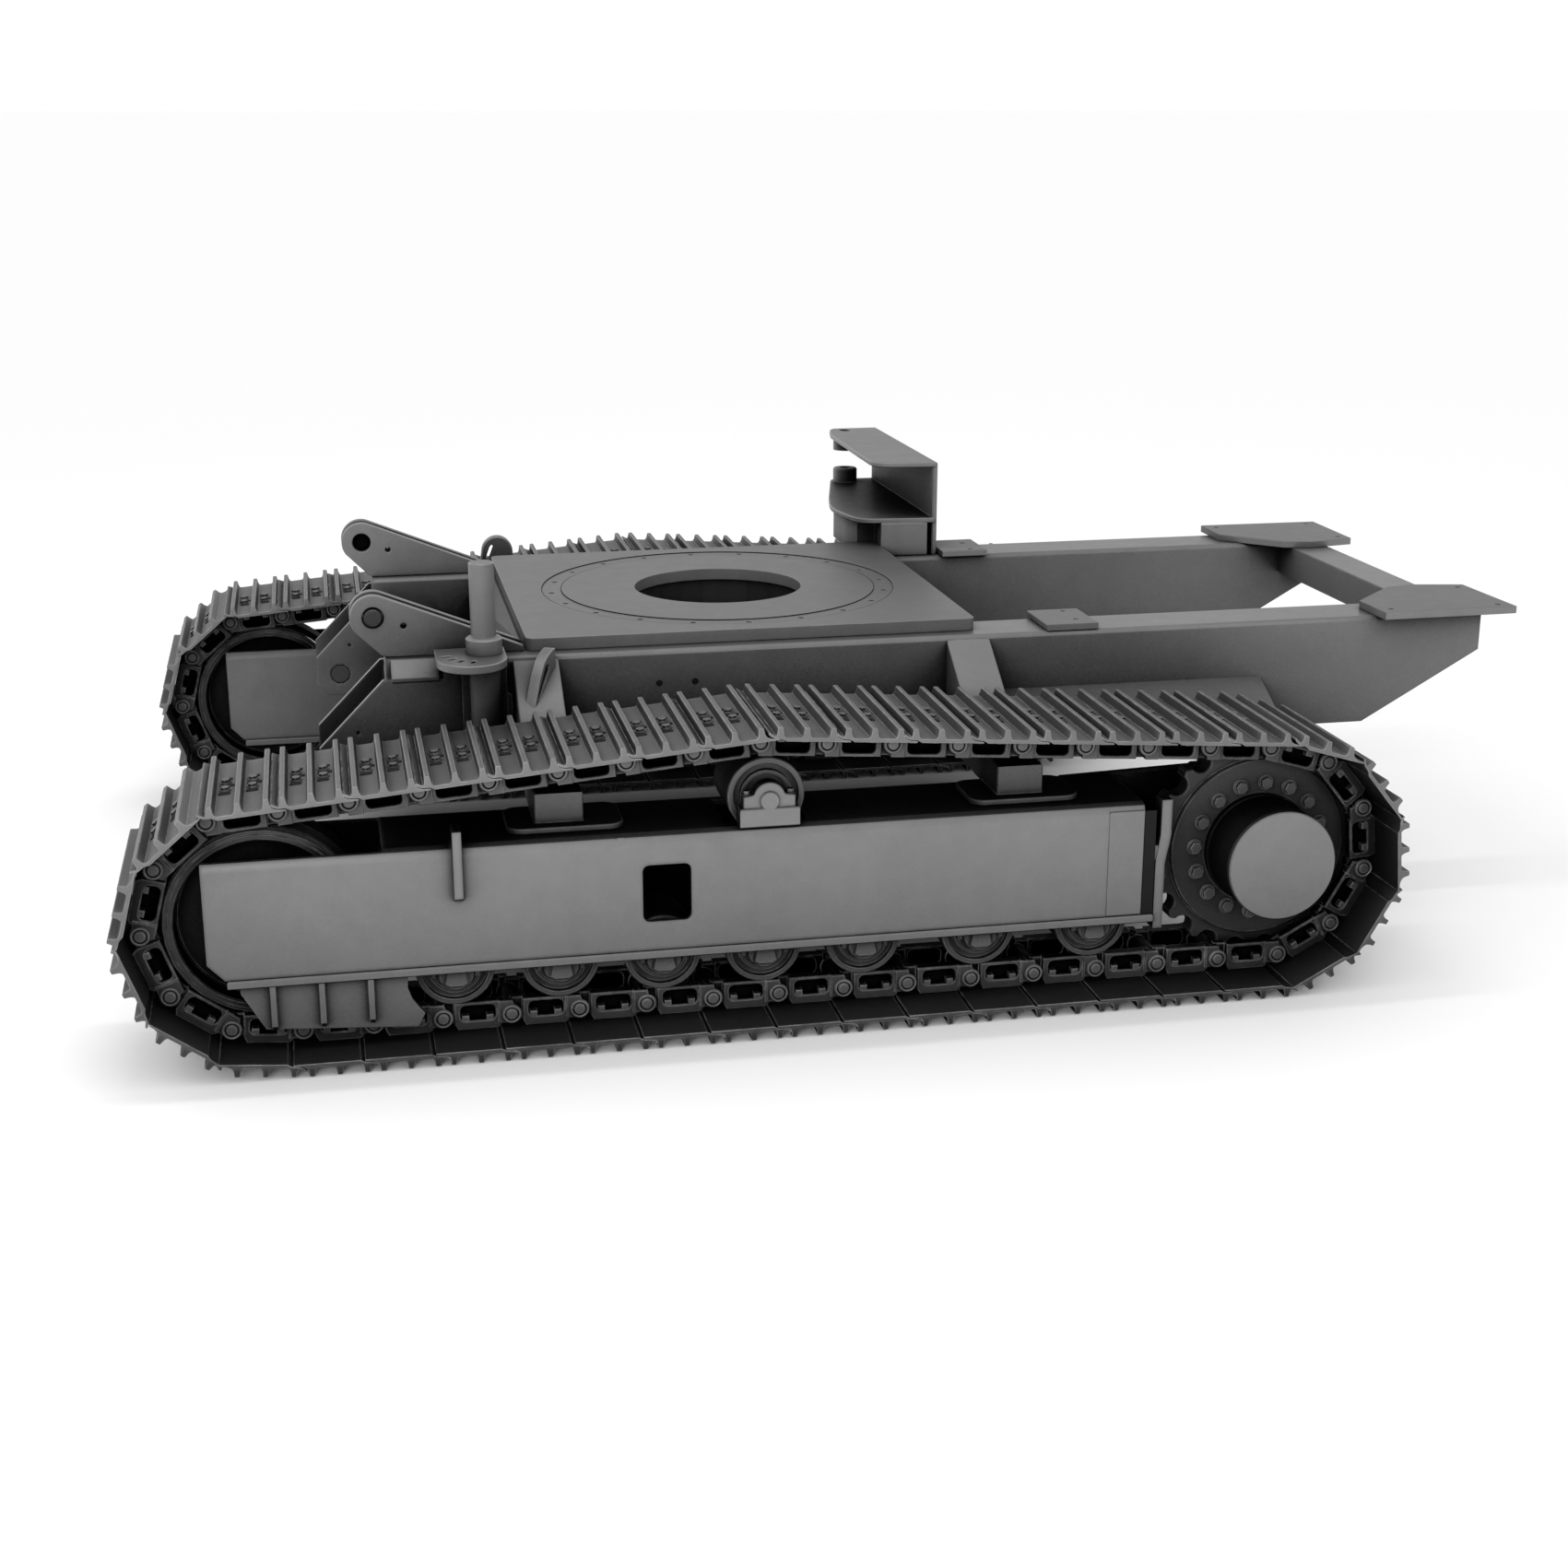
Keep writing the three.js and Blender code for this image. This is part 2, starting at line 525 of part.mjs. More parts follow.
// C-shaped bracket: base box, shelf, wall and top plate with a pair of pivot bosses.
function towerBracket() {
  const { top, shelf, wall, end, sheet } = TOWER;
  const floor = BEAM.top + GAP;
  const block = prismZ([[776, 490], [620, 500], [566, 586], [550, 660], [550, 860], [776, 860]],
    floor, shelf - 5);
  const plateRoom = box([480, PLATE.halfX + GAP], [450, PLATE.halfY + GAP], [floor - 5, shelf]);
  const base = cut(block, plateRoom);
  const shelfPlate = prismZ([[800, 488], [592, 510], [556, 532], [540, 575], [530, 632], [519, 700],
    [525, 812], [552, 945], [597, 1130], [632, 1275], [652, end], [800, end]], shelf - sheet, shelf);
  const topPlate = prismZ([[800, 490], [663, 508], [622, 522], [604, 556], [603, 737], [612, 1188],
    [634, 1296], [660, end], [800, end]], top - sheet, top);
  const wallPlate = prismX([[492, floor], [650, floor], [790, shelf - sheet], [end, shelf - sheet],
    [end, top], [492, top]], wall - sheet, wall);
  const boss = (z) => cylinderZ(684, 1268, 42, z, 12);
  const bore = cylinderZ(684, 1268, 20, [shelf - 20, top + 5], 8);
  return cut(join(base, shelfPlate, topPlate, wallPlate, boss([shelf - 3, 1032]),
    boss([1096, top - 3])), bore);
}

// Sloping cover over the hoses beside the near beam.
function hoseCover() {
  const start = -BEAM.outer - GAP;
  return prismX([[start, 704], [start, 690], [-760, 632], [-768, 642]], 690, 1456);
}

// ---------------------------------------------------------------- assembly
trackUnit('near', -1);
trackUnit('far', 1);
add('turntable_plate', turntablePlate(), PAINT);
add('centre_frame', centreFrame(), PAINT);
[['near', -1], ['far', 1]].forEach(([name, sign]) => {
  add(`main_beam_${name}`, mainBeam(sign), PAINT);
  add(`corner_plate_${name}`, cornerPlate(sign), PAINT);
  add(`mounting_pad_${name}`, mountingPad(sign), PAINT);
  add(`front_arm_${name}`, join(crossArm(sign, ARM.front), tieLug(sign)), PAINT);
  add(`rear_arm_${name}`, crossArm(sign, ARM.rear), PAINT);
  add(`pivot_ear_${name}`, pivotEar(sign), PAINT);
});
add('pivot_pin', cylinderY(EAR.x, EAR.z, EAR.bore - 1, [-590, -492], 16), WORN);
add('rear_cross_beam', rearCrossBeam(), PAINT);
add('post_base', postBase(), PAINT);
add('swivel_post', swivelPost(), PAINT);
add('tower_bracket', towerBracket(), PAINT);
add('hose_cover', hoseCover(), PAINT);

const footprint = new THREE.Box3().setFromObject(undercarriage);
undercarriage.position.x = -(footprint.min.x + footprint.max.x) / 2;

export default undercarriage;
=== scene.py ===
"""Looks of the crawler undercarriage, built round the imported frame.

Shapes are written in millimetres from the slewing axis (x), the centre plane (y) and the ground (z);
Shape.piece turns them into metres in the frame. Each track's shapes are made once, with y as the
distance outboard of the track's centre, and placed on both sides.
"""
import math

import bmesh
import bpy
from mathutils import Matrix, Vector


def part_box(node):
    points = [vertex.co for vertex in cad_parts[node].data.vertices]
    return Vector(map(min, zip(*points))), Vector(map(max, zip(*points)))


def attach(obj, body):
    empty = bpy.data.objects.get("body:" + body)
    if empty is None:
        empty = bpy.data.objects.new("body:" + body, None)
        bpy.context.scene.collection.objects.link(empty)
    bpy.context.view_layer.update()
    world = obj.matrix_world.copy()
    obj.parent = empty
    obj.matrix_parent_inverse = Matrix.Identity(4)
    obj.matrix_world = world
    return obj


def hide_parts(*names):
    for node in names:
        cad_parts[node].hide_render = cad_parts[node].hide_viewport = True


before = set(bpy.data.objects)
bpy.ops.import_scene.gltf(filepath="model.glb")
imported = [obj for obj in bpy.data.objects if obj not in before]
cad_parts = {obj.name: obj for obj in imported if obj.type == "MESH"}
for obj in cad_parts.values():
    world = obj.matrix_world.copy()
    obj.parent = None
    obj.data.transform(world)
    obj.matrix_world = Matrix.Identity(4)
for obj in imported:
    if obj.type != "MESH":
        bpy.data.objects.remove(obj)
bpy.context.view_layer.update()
MM = 0.001


def middle(node):
    low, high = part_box(node)
    return (low + high) / 2


SLEW_X = middle("turntable_plate").x
TRACK_Y = middle("shoe_band_far").y / MM
SIDES = (("near", -1), ("far", 1))


# ---------------------------------------------------------------- sizes
PITCH = 171.45
PIN_Z = 73.9
LOWER_PIN_X = -917.3
LOWER_RUN = range(-2, 14)
TEETH = 21
SPROCKET = {"x": 1259.4, "z": 364.7, "pitch": 290.8, "tip": 299.5, "phase": -46.66}
IDLER = {"x": -1342.5, "z": 362.2, "pitch": 288.3, "phase": 113.45, "step": 34.6}
WHEEL_PINS = 5
UPPER_PEAK = (-105.0, 747.0)
UPPER_SPAN = 8
RAIL = 36.0
PLATE_SPAN = (60, 92)
FRONT_LOBE_SPAN = (53.5, 75)
REAR_LOBE_SPAN = (76, 96.5)
SHOE_HALF = 224.9
GROUSERS = (16.6, 83.2, 149.8)
SHOE_TIP = 72.6
SHOE_SKIN = 48.0
SHOE_BOLTS = (50, 116.5)
ROLLER_X = (-882, -620, -360, -100, 162, 470, 779)
ROLLER_Z = 209.0
ROLLER_RADIUS = 98.5
ROLLER_HALF = 97
STRIP_SPAN = (107, 160)
CARRIER = (-92.0, 609.5)
FRAME_HALF = 152.5
FRAME_TOP = 543.0
STRIP_TOP = 238.0
BEAM_TOP = 862.0
PLATE_TOP = 896.5
EAR = (-1025.6, 970.0)
POST = (-745.0, -692.0)
PIN_RADIUS = 15.0
BUSH_RADIUS = 26.0
HUB_RADIUS = 147.4
HUB_END = 209.8
RING_BOLTS = 16
RING_BOLT_CIRCLE = 180.0
RING_FACE = 41.8
PLATE_HALF = (625.0, 586.5)
PLATE_BORE = 247.0
PLATE_BOLTS = 20
PLATE_BOLT_CIRCLE = 494.0
GROOVE = (463.0, 522.0)
GROOVE_FLOOR = 894.0
BEAM_OUTER = 645.3
EAR_RADIUS = 61.0
EAR_PIN_RADIUS = 24.5
FORK_BORE = (-1113, 586)
BEAM_HOLES = {"x": (-275, -177), "z": 771, "radius": 9}
SADDLE_SPAN = (1000, 1192)
SADDLE_HALF = 146
SADDLE_THICKNESS = 14
GAP = 0.3
SPRING = {"front": -925.0, "rear": -495.0, "z": 430.0, "radius": 68.0, "wire": 15.0, "turns": 8}
TOWER_BOSS = (684.0, 1268.0)
TOWER_BORE = 20.0
TOWER_SHELF = 984.0
TOWER_TOP = 1162.9
TOWER_END = 1319.0
FRONT_ARM = (-668.5, -546.5)
REAR_ARM = (527.0, 649.0)
LUG = (-626.0, -787.0, 59.7)


# ---------------------------------------------------------------- shapes
AXES = {
    "X": Matrix(((0, 0, 1, 0), (1, 0, 0, 0), (0, 1, 0, 0), (0, 0, 0, 1))),
    "Y": Matrix(((1, 0, 0, 0), (0, 0, 1, 0), (0, 1, 0, 0), (0, 0, 0, 1))),
    "Z": Matrix.Identity(4),
}


class Shape:
    """Closed bodies gathered in millimetres."""

    def __init__(self):
        self.bm = bmesh.new()

    def add(self, mesh, matrix):
        first_vertex = len(self.bm.verts)
        first_face = len(self.bm.faces)
        self.bm.from_mesh(mesh)
        self.bm.verts.ensure_lookup_table()
        self.bm.faces.ensure_lookup_table()
        bmesh.ops.transform(self.bm, matrix=matrix, verts=self.bm.verts[first_vertex:])
        if matrix.determinant() < 0:
            bmesh.ops.reverse_faces(self.bm, faces=self.bm.faces[first_face:])
        return self

    def slab(self, outline, low, high, axis="Z", holes=(), edge=1.5):
        """A plate of an outline with holes, between two places on its axis, its edges rounded."""
        curve = bpy.data.curves.new("slab", "CURVE")
        curve.dimensions = "2D"
        curve.fill_mode = "BOTH"
        curve.extrude = abs(high - low) / 2 - edge
        curve.bevel_depth = edge
        curve.bevel_resolution = 0
        curve.offset = -edge
        for points in (outline, *holes):
            spline = curve.splines.new("POLY")
            spline.points.add(len(points) - 1)
            for point, (a, b) in zip(spline.points, points):
                point.co = (a, b, 0, 1)
            spline.use_cyclic_u = True
        holder = bpy.data.objects.new("slab", curve)
        mesh = bpy.data.meshes.new_from_object(holder)
        part = bmesh.new()
        part.from_mesh(mesh)
        bmesh.ops.remove_doubles(part, verts=part.verts, dist=0.01)
        bmesh.ops.recalc_face_normals(part, faces=part.faces)
        part.to_mesh(mesh)
        part.free()
        self.add(mesh, AXES[axis] @ Matrix.Translation((0, 0, (low + high) / 2)))
        bpy.data.objects.remove(holder)
        bpy.data.curves.remove(curve)
        bpy.data.meshes.remove(mesh)
        return self

    def block(self, a, b, c, axis="Z", edge=2.0):
        """A box with rounded edges; a and b span the outline and c the axis."""
        outline = [(a[0], b[0]), (a[1], b[0]), (a[1], b[1]), (a[0], b[1])]
        return self.slab(outline, c[0], c[1], axis, edge=edge)

    def turned(self, profile, centre, axis="Y", steps=64, phase=0.0):
        """A body of revolution; the profile is (radius, place on the axis)."""
        part = bmesh.new()
        rings = []
        for radius, along in profile:
            count = 1 if radius == 0 else steps
            rings.append([part.verts.new((
                centre[0] + radius * math.cos(math.tau * k / steps + phase),
                centre[1] + radius * math.sin(math.tau * k / steps + phase),
                along,
            )) for k in range(count)])
        if profile[0][0] > 0:
            rings.append(rings[0])
        for one, two in zip(rings, rings[1:]):
            for k in range(steps):
                corners = [one[k % len(one)], one[(k + 1) % len(one)],
                           two[(k + 1) % len(two)], two[k % len(two)]]
                part.faces.new(list(dict.fromkeys(corners)))
        bmesh.ops.recalc_face_normals(part, faces=part.faces)
        mesh = bpy.data.meshes.new("turned")
        part.to_mesh(mesh)
        part.free()
        self.add(mesh, AXES[axis])
        bpy.data.meshes.remove(mesh)
        return self

    def rod(self, radius, low, high, centre, axis="Y", steps=24, edge=1.5, phase=0.0):
        profile = [(0, low), (radius - edge, low), (radius, low + edge),
                   (radius, high - edge), (radius - edge, high), (0, high)]
        return self.turned(profile, centre, axis, steps, phase)

    def bolt(self, radius, low, high, centre, axis="Y", phase=0.3):
        """A hexagon head on its washer; low is the seat and high the top."""
        rise = 1 if high > low else -1
        seat = low + 0.22 * (high - low)
        washer = sorted((low - rise, seat))
        self.rod(radius * 1.25, *washer, centre, axis, 20, 0.6)
        head = sorted((seat - rise * 0.5, high))
        return self.rod(radius, *head, centre, axis, 6, radius * 0.1, phase)

    def mesh(self, name="shape", matrix=Matrix.Identity(4)):
        mesh = bpy.data.meshes.new(name)
        self.bm.to_mesh(mesh)
        mesh.transform(matrix)
        if matrix.determinant() < 0:
            mesh.flip_normals()
        return mesh

    def piece(self, name, body, slot, material, replaces=(), side=None, angle=35):
        """The shape as a named piece on a body, on one track or in the middle."""
        local = Matrix.Identity(4)
        if side:
            local = Matrix.Translation((0, side * TRACK_Y, 0)) @ Matrix.Diagonal((1, side, 1, 1))
        metres = Matrix.Translation((SLEW_X, 0, 0)) @ Matrix.Scale(MM, 4)
        mesh = self.mesh(name, metres @ local)
        mesh.polygons.foreach_set("use_smooth", [True] * len(mesh.polygons))
        mesh.set_sharp_from_angle(angle=math.radians(angle))
        mesh.materials.append(material)
        made = bpy.data.objects.new(name, mesh)
        bpy.context.scene.collection.objects.link(made)
        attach(made, body)
        if replaces:
            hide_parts(*replaces)
        return made


def arc(cx, cy, radius, start, end, steps=12):
    angles = [math.radians(start + (end - start) * i / steps) for i in range(steps + 1)]
    return [(cx + radius * math.cos(a), cy + radius * math.sin(a)) for a in angles]


def circle(cx, cy, radius, steps=32):
    return arc(cx, cy, radius, 0, 360, steps)[:-1]


def outboard(side, span):
    """A span of distances from the middle, on one side of it."""
    return sorted((side * span[0], side * span[1]))


def rounded(a, b, radius, steps=5):
    """A rectangle over two spans, with rounded corners."""
    (a0, a1), (b0, b1) = a, b
    return [
        *arc(a1 - radius, b1 - radius, radius, 0, 90, steps),
        *arc(a0 + radius, b1 - radius, radius, 90, 180, steps),
        *arc(a0 + radius, b0 + radius, radius, 180, 270, steps),
        *arc(a1 - radius, b0 + radius, radius, 270, 360, steps),
    ]


# ---------------------------------------------------------------- materials
def steel(name, tone, rough, metal=0.0, edge_wear_and_highlight=0.4, bright=0.34, painted_corner_shade=0.9, grain=0.35, bend=0.004,
          top=0.43, reach=0.8):
    """Steel or paint on steel: clouded tone, fine grain, worn edges with painted highlight, painted shade
    in corners and on tops.
    """
    material = bpy.data.materials.new(name)
    material.use_nodes = True
    nodes = material.node_tree.nodes
    links = material.node_tree.links
    shader = nodes["Principled BSDF"]
    shader.inputs["Metallic"].default_value = metal
    place = nodes.new("ShaderNodeTexCoord").outputs["Object"]

    def put(socket, value):
        if isinstance(value, bpy.types.NodeSocket):
            links.new(value, socket)
        else:
            socket.default_value = value

    def noise(scale, detail, roughness=0.55):
        node = nodes.new("ShaderNodeTexNoise")
        put(node.inputs["Vector"], place)
        put(node.inputs["Scale"], scale)
        put(node.inputs["Detail"], detail)
        put(node.inputs["Roughness"], roughness)
        return node.outputs["Fac"]

    def spread(value, low, high, to_low, to_high):
        node = nodes.new("ShaderNodeMapRange")
        for i, v in enumerate((value, low, high, to_low, to_high)):
            put(node.inputs[i], v)
        return node.outputs[0]

    def math_node(kind, one, two=0.0):
        node = nodes.new("ShaderNodeMath")
        node.operation = kind
        put(node.inputs[0], one)
        put(node.inputs[1], two)
        return node.outputs[0]

    clouds = noise(1.7, 5)
    blotches = noise(16, 6, 0.68)
    specks = noise(340, 3, 0.6)

    round_edge = nodes.new("ShaderNodeBevel")
    round_edge.samples = 3
    round_edge.inputs["Radius"].default_value = bend
    surface = nodes.new("ShaderNodeNewGeometry").outputs["Normal"]
    turn = nodes.new("ShaderNodeVectorMath")
    turn.operation = "DOT_PRODUCT"
    links.new(round_edge.outputs["Normal"], turn.inputs[0])
    links.new(surface, turn.inputs[1])
    # Edge mask from the rounded normals: worn edges, lightened also as a painted highlight.
    edges = spread(math_node("SUBTRACT", 1.0, turn.outputs["Value"]), 0.01, 0.16, 0.0, 1.0)
    worn_and_lit_edges = math_node("MULTIPLY", edges, spread(blotches, 0.42, 0.62, 0.25, 1.0))
    worn_and_lit_edges = math_node("MULTIPLY", worn_and_lit_edges, edge_wear_and_highlight)

    shade = spread(clouds, 0.3, 0.7, 0.9, 1.08)
    shade = math_node("MULTIPLY", shade, spread(blotches, 0.3, 0.7, 0.93, 1.05))
    shade = math_node("MULTIPLY", shade, spread(specks, 0.3, 0.7, 0.95, 1.04))
    # Painted shade: the colour darkens where ambient occlusion finds corners, recesses and gaps, nearly to
    # black.
    corner = nodes.new("ShaderNodeAmbientOcclusion")
    corner.samples = 6
    corner.inputs["Distance"].default_value = reach
    open_sky = math_node("POWER", spread(corner.outputs["AO"], 0.28, 0.82, 0.0, 1.0), 1.7)
    shade = math_node("MULTIPLY", shade, spread(open_sky, 0.0, 1.0, 1.0 - painted_corner_shade, 1.0))
    # Painted shade: faces that point up are darkened, standing in for weaker light from above.
    facing = nodes.new("ShaderNodeSeparateXYZ")
    links.new(surface, facing.inputs["Vector"])
    shade = math_node("MULTIPLY", shade, spread(facing.outputs["Z"], 0.75, 0.98, 1.0, top))
    # Painted shade in the gloss: the specular level falls in the same occluded corners.
    put(shader.inputs["Specular IOR Level"], math_node("MULTIPLY", open_sky, 0.5))
    painted = math_node("MULTIPLY", shade, tone)
    mixed = nodes.new("ShaderNodeMix")
    mixed.data_type = "RGBA"
    put(mixed.inputs["Factor"], worn_and_lit_edges)
    colour = nodes.new("ShaderNodeCombineColor")
    for channel in ("Red", "Green", "Blue"):
        put(colour.inputs[channel], painted)
    links.new(colour.outputs["Color"], mixed.inputs["A"])
    mixed.inputs["B"].default_value = (bright, bright, bright, 1)
    links.new(mixed.outputs["Result"], shader.inputs["Base Color"])

    gloss = spread(blotches, 0.3, 0.7, rough - 0.02, rough + 0.05)
    put(shader.inputs["Roughness"], math_node("SUBTRACT", gloss, math_node("MULTIPLY", worn_and_lit_edges, 0.15)))
    bump = nodes.new("ShaderNodeBump")
    bump.inputs["Strength"].default_value = grain
    bump.inputs["Distance"].default_value = 0.0007
    put(bump.inputs["Height"], math_node("ADD", specks, math_node("MULTIPLY", blotches, 0.08)))
    links.new(round_edge.outputs["Normal"], bump.inputs["Normal"])
    links.new(bump.outputs["Normal"], shader.inputs["Normal"])
    return material


# In each finish the corner-shade value sets how dark the painted shade in corners gets, the top value how
# far upward faces are darkened as painted shade, and the edge value how much worn edges are lightened as
# painted highlight.
PAINT = steel("satin_paint", 0.18, 0.42, metal=0.1, painted_corner_shade=0.97, grain=0.2)
BENT = steel("bent_sheet", 0.182, 0.3, metal=0.1, edge_wear_and_highlight=0.15, painted_corner_shade=0.99, grain=0.15, bend=0.014)
BEAM_PAINT = steel("beam_paint", 0.175, 0.36, metal=0.1, edge_wear_and_highlight=0.15, painted_corner_shade=0.99, grain=0.15,
                   bend=0.01, top=0.52, reach=1.2)
PLATE_PAINT = steel("plate_paint", 0.175, 0.45, metal=0.1, edge_wear_and_highlight=0.3, painted_corner_shade=0.75, grain=0.2)
FORGED = steel("forged_steel", 0.145, 0.5, metal=0.25, edge_wear_and_highlight=0.9, grain=0.5)
BOLTED = steel("bolt_steel", 0.19, 0.42, metal=0.3, edge_wear_and_highlight=1.0, bright=0.42, painted_corner_shade=0.8, grain=0.4)
CHAIN = steel("chain_steel", 0.135, 0.46, metal=0.3, edge_wear_and_highlight=1.0, bright=0.4, painted_corner_shade=0.99, grain=0.5)
SHOE = steel("shoe_steel", 0.14, 0.5, metal=0.2, edge_wear_and_highlight=1.0, bright=0.42, painted_corner_shade=0.95, grain=0.8, top=0.5)
CAST = steel("cast_drive", 0.12, 0.5, metal=0.2, edge_wear_and_highlight=0.9, bright=0.34, grain=0.9)
# Near-black: painted shade for the hub's drum, which lies in shadow, and for the near ears' pin.
DRUM_SHADE = steel("shaded_drum", 0.03, 0.5, metal=0.1, edge_wear_and_highlight=0.2, bright=0.2)
WHEEL = steel("idler_cast", 0.09, 0.5, metal=0.2, edge_wear_and_highlight=0.9, bright=0.3, painted_corner_shade=0.98, grain=0.6)
# Dark: painted shade for parts inside or behind others: motor, coil spring, centre frame, bore plugs.
SHADE_DARK = steel("painted_shade_dark", 0.045, 0.5, metal=0.1, edge_wear_and_highlight=0.4, bright=0.2)
# Black: painted shade for gaps, holes, groove steps, pin ends and the space behind link windows.
SHADE_BLACK = steel("painted_shade_black", 0.003, 0.9, edge_wear_and_highlight=0.0, painted_corner_shade=1.0)
BRIGHT = steel("running_steel", 0.8, 0.18, metal=0.9, edge_wear_and_highlight=0.2, bright=0.8, painted_corner_shade=0.3, grain=0.1, top=1.0)


# ---------------------------------------------------------------- the chain's route
def on_wheel(wheel, degrees):
    angle = math.radians(degrees)
    return (wheel["x"] + wheel["pitch"] * math.cos(angle), wheel["z"] + wheel["pitch"] * math.sin(angle))


def between(a, b, count):
    """The points that cut the way from a to b into equal parts."""
    step = ((b[0] - a[0]) / count, (b[1] - a[1]) / count)
    return [(a[0] + step[0] * i, a[1] + step[1] * i) for i in range(1, count)]


def pin_route():
    """Places of the chain's pins, from the front of the lower run round both wheels."""
    lower = [(LOWER_PIN_X + k * PITCH, PIN_Z) for k in LOWER_RUN]
    rear = [on_wheel(SPROCKET, SPROCKET["phase"] + i * 720 / TEETH) for i in range(WHEEL_PINS)]
    front = [on_wheel(IDLER, IDLER["phase"] + i * IDLER["step"]) for i in range(WHEEL_PINS)]
    upper = [*between(rear[-1], UPPER_PEAK, UPPER_SPAN), UPPER_PEAK,
             *between(UPPER_PEAK, front[0], UPPER_SPAN)]
    return [*lower, *rear, *upper, *front]


def link_places():
    """One matrix a link: local x runs along the link from its first pin, z points to the shoe."""
    pins = pin_route()
    places = []
    for a, b in zip(pins, [*pins[1:], pins[0]]):
        length = math.hypot(b[0] - a[0], b[1] - a[1])
        along = ((b[0] - a[0]) / length, (b[1] - a[1]) / length)
        stretch = length / PITCH
        places.append(Matrix((
            (along[0] * stretch, 0, along[1], a[0]),
            (0, 1, 0, 0),
            (along[1] * stretch, 0, -along[0], a[1]),
            (0, 0, 0, 1),
        )))
    return places


PLACES = link_places()


def repeated(shape):
    """The shape once for each link of the chain."""
    whole = Shape()
    mesh = shape.mesh()
    for place in PLACES:
        whole.add(mesh, place)
    return whole


def link():
    """Two cranked side plates with windows, and the bush between them."""
    shape = Shape()
    window = rounded((43, 131), (-27, 13), 13, 4)
    plate = [(28, -RAIL), (154, -RAIL), (154, 8), (146, 30), (138, 37), (36, 37), (28, 22)]
    front_lobe = [(34, -RAIL), (34, 24), *arc(0, 0, 25, 75, 255, 10), (-3, -RAIL)]
    rear_lobe = [(138, -RAIL), (PITCH + 3, -RAIL), *arc(PITCH, 0, 25, -75, 105, 10), (138, 24)]
    for s in (-1, 1):
        shape.slab(plate, *outboard(s, PLATE_SPAN), "Y", [window], 2.5)
        shape.slab(front_lobe, *outboard(s, FRONT_LOBE_SPAN), "Y", edge=2.5)
        shape.slab(rear_lobe, *outboard(s, REAR_LOBE_SPAN), "Y", edge=2.5)
    return shape.rod(BUSH_RADIUS, -54, 54, (0, 0), edge=2, steps=24)


def link_pin():
    """Pin with its end bosses, and the nuts of the shoe bolts in the windows."""
    shape = Shape().rod(PIN_RADIUS, -103, 103, (PITCH, 0), edge=3, steps=20)
    boss_half = [(17.5, 94), (25, 94), (25, 99), (22, 102), (19, 102), (17.5, 99)]
    for s in (-1, 1):
        boss = [(radius, s * along) for radius, along in boss_half]
        shape.turned(boss, (PITCH, 0), steps=24)
        for t in (56, 117):
            shape.block((t - 9, t + 9), (0, 14), outboard(s, (66, 90)), "Y", edge=1.5)
    return shape


def shoe():
    """Rolled section with three grousers and a lip that covers the next shoe's edge."""
    half_grouser = [(-15, SHOE_SKIN), (-11.5, 50), (-8.5, 57), (-6.5, 71), (-4.5, SHOE_TIP)]
    outline = [(-27, 38), (-27, 41.5), (-22, 43), (-10, 43.5), (-2, 46)]
    for t in GROUSERS:
        outline += [(t + a, h) for a, h in half_grouser]
        outline += [(t - a, h) for a, h in reversed(half_grouser)]
    lip = [(160, 50.5), (170, 55), (177, 59), (180, 55), (174, 49.5), (164, 45.5), (146, 44.5),
           (138, 41), (134, 38)]
    outline = [*outline[:-1], *lip]
    shape = Shape().slab(outline, -SHOE_HALF, SHOE_HALF, "Y", edge=1.0)
    for vertex in shape.bm.verts:
        if abs(vertex.co.y) > SHOE_HALF - 3 and vertex.co.z > SHOE_SKIN + 2:
            slant = (vertex.co.z - SHOE_SKIN) * 0.16
            vertex.co.y -= math.copysign(slant, vertex.co.y)
    return shape


def shoe_bolts():
    """Two pairs of bolt heads between the grousers."""
    shape = Shape()
    for t in SHOE_BOLTS:
        for o in (-48, 16):
            shape.bolt(11.5, SHOE_SKIN, SHOE_SKIN + 10, (t + 2, o), "Z")
    return shape


def painted_shade_sheets():
    """Black sheets behind the link windows, and black pockets between the shoe bolts, both painted shade.
    """
    shape = Shape()
    for s in (-1, 1):
        shape.block((40, 134), (-30, 16), outboard(s, (61.5, 64)), "Y", edge=0.3)
    for t in SHOE_BOLTS:
        for o, shift, half in ((77, 0, 14), (20, -2, 19), (-45, 4, 15)):
            span = (t + shift - half, t + shift + half)
            shape.slab(rounded(span, (-o - 10, -o + 10), 6, 3), SHOE_SKIN - 2, SHOE_SKIN + 0.9, edge=0.3)
    return shape


# ---------------------------------------------------------------- rollers and wheels
def roller(centre):
    """A track roller with a groove and a raised ring on each end face."""
    half = ROLLER_HALF
    radius = ROLLER_RADIUS
    face = [(28, 92), (55, 92), (57, 99), (66, 99), (68, 84), (82, 84), (84, half), (95.5, half),
            (radius, half - 3), (radius, 50), (radius - 1.5, 47)]
    profile = [*face, *[(r, -o) for r, o in reversed(face)]]
    return Shape().turned(profile, centre, steps=64)


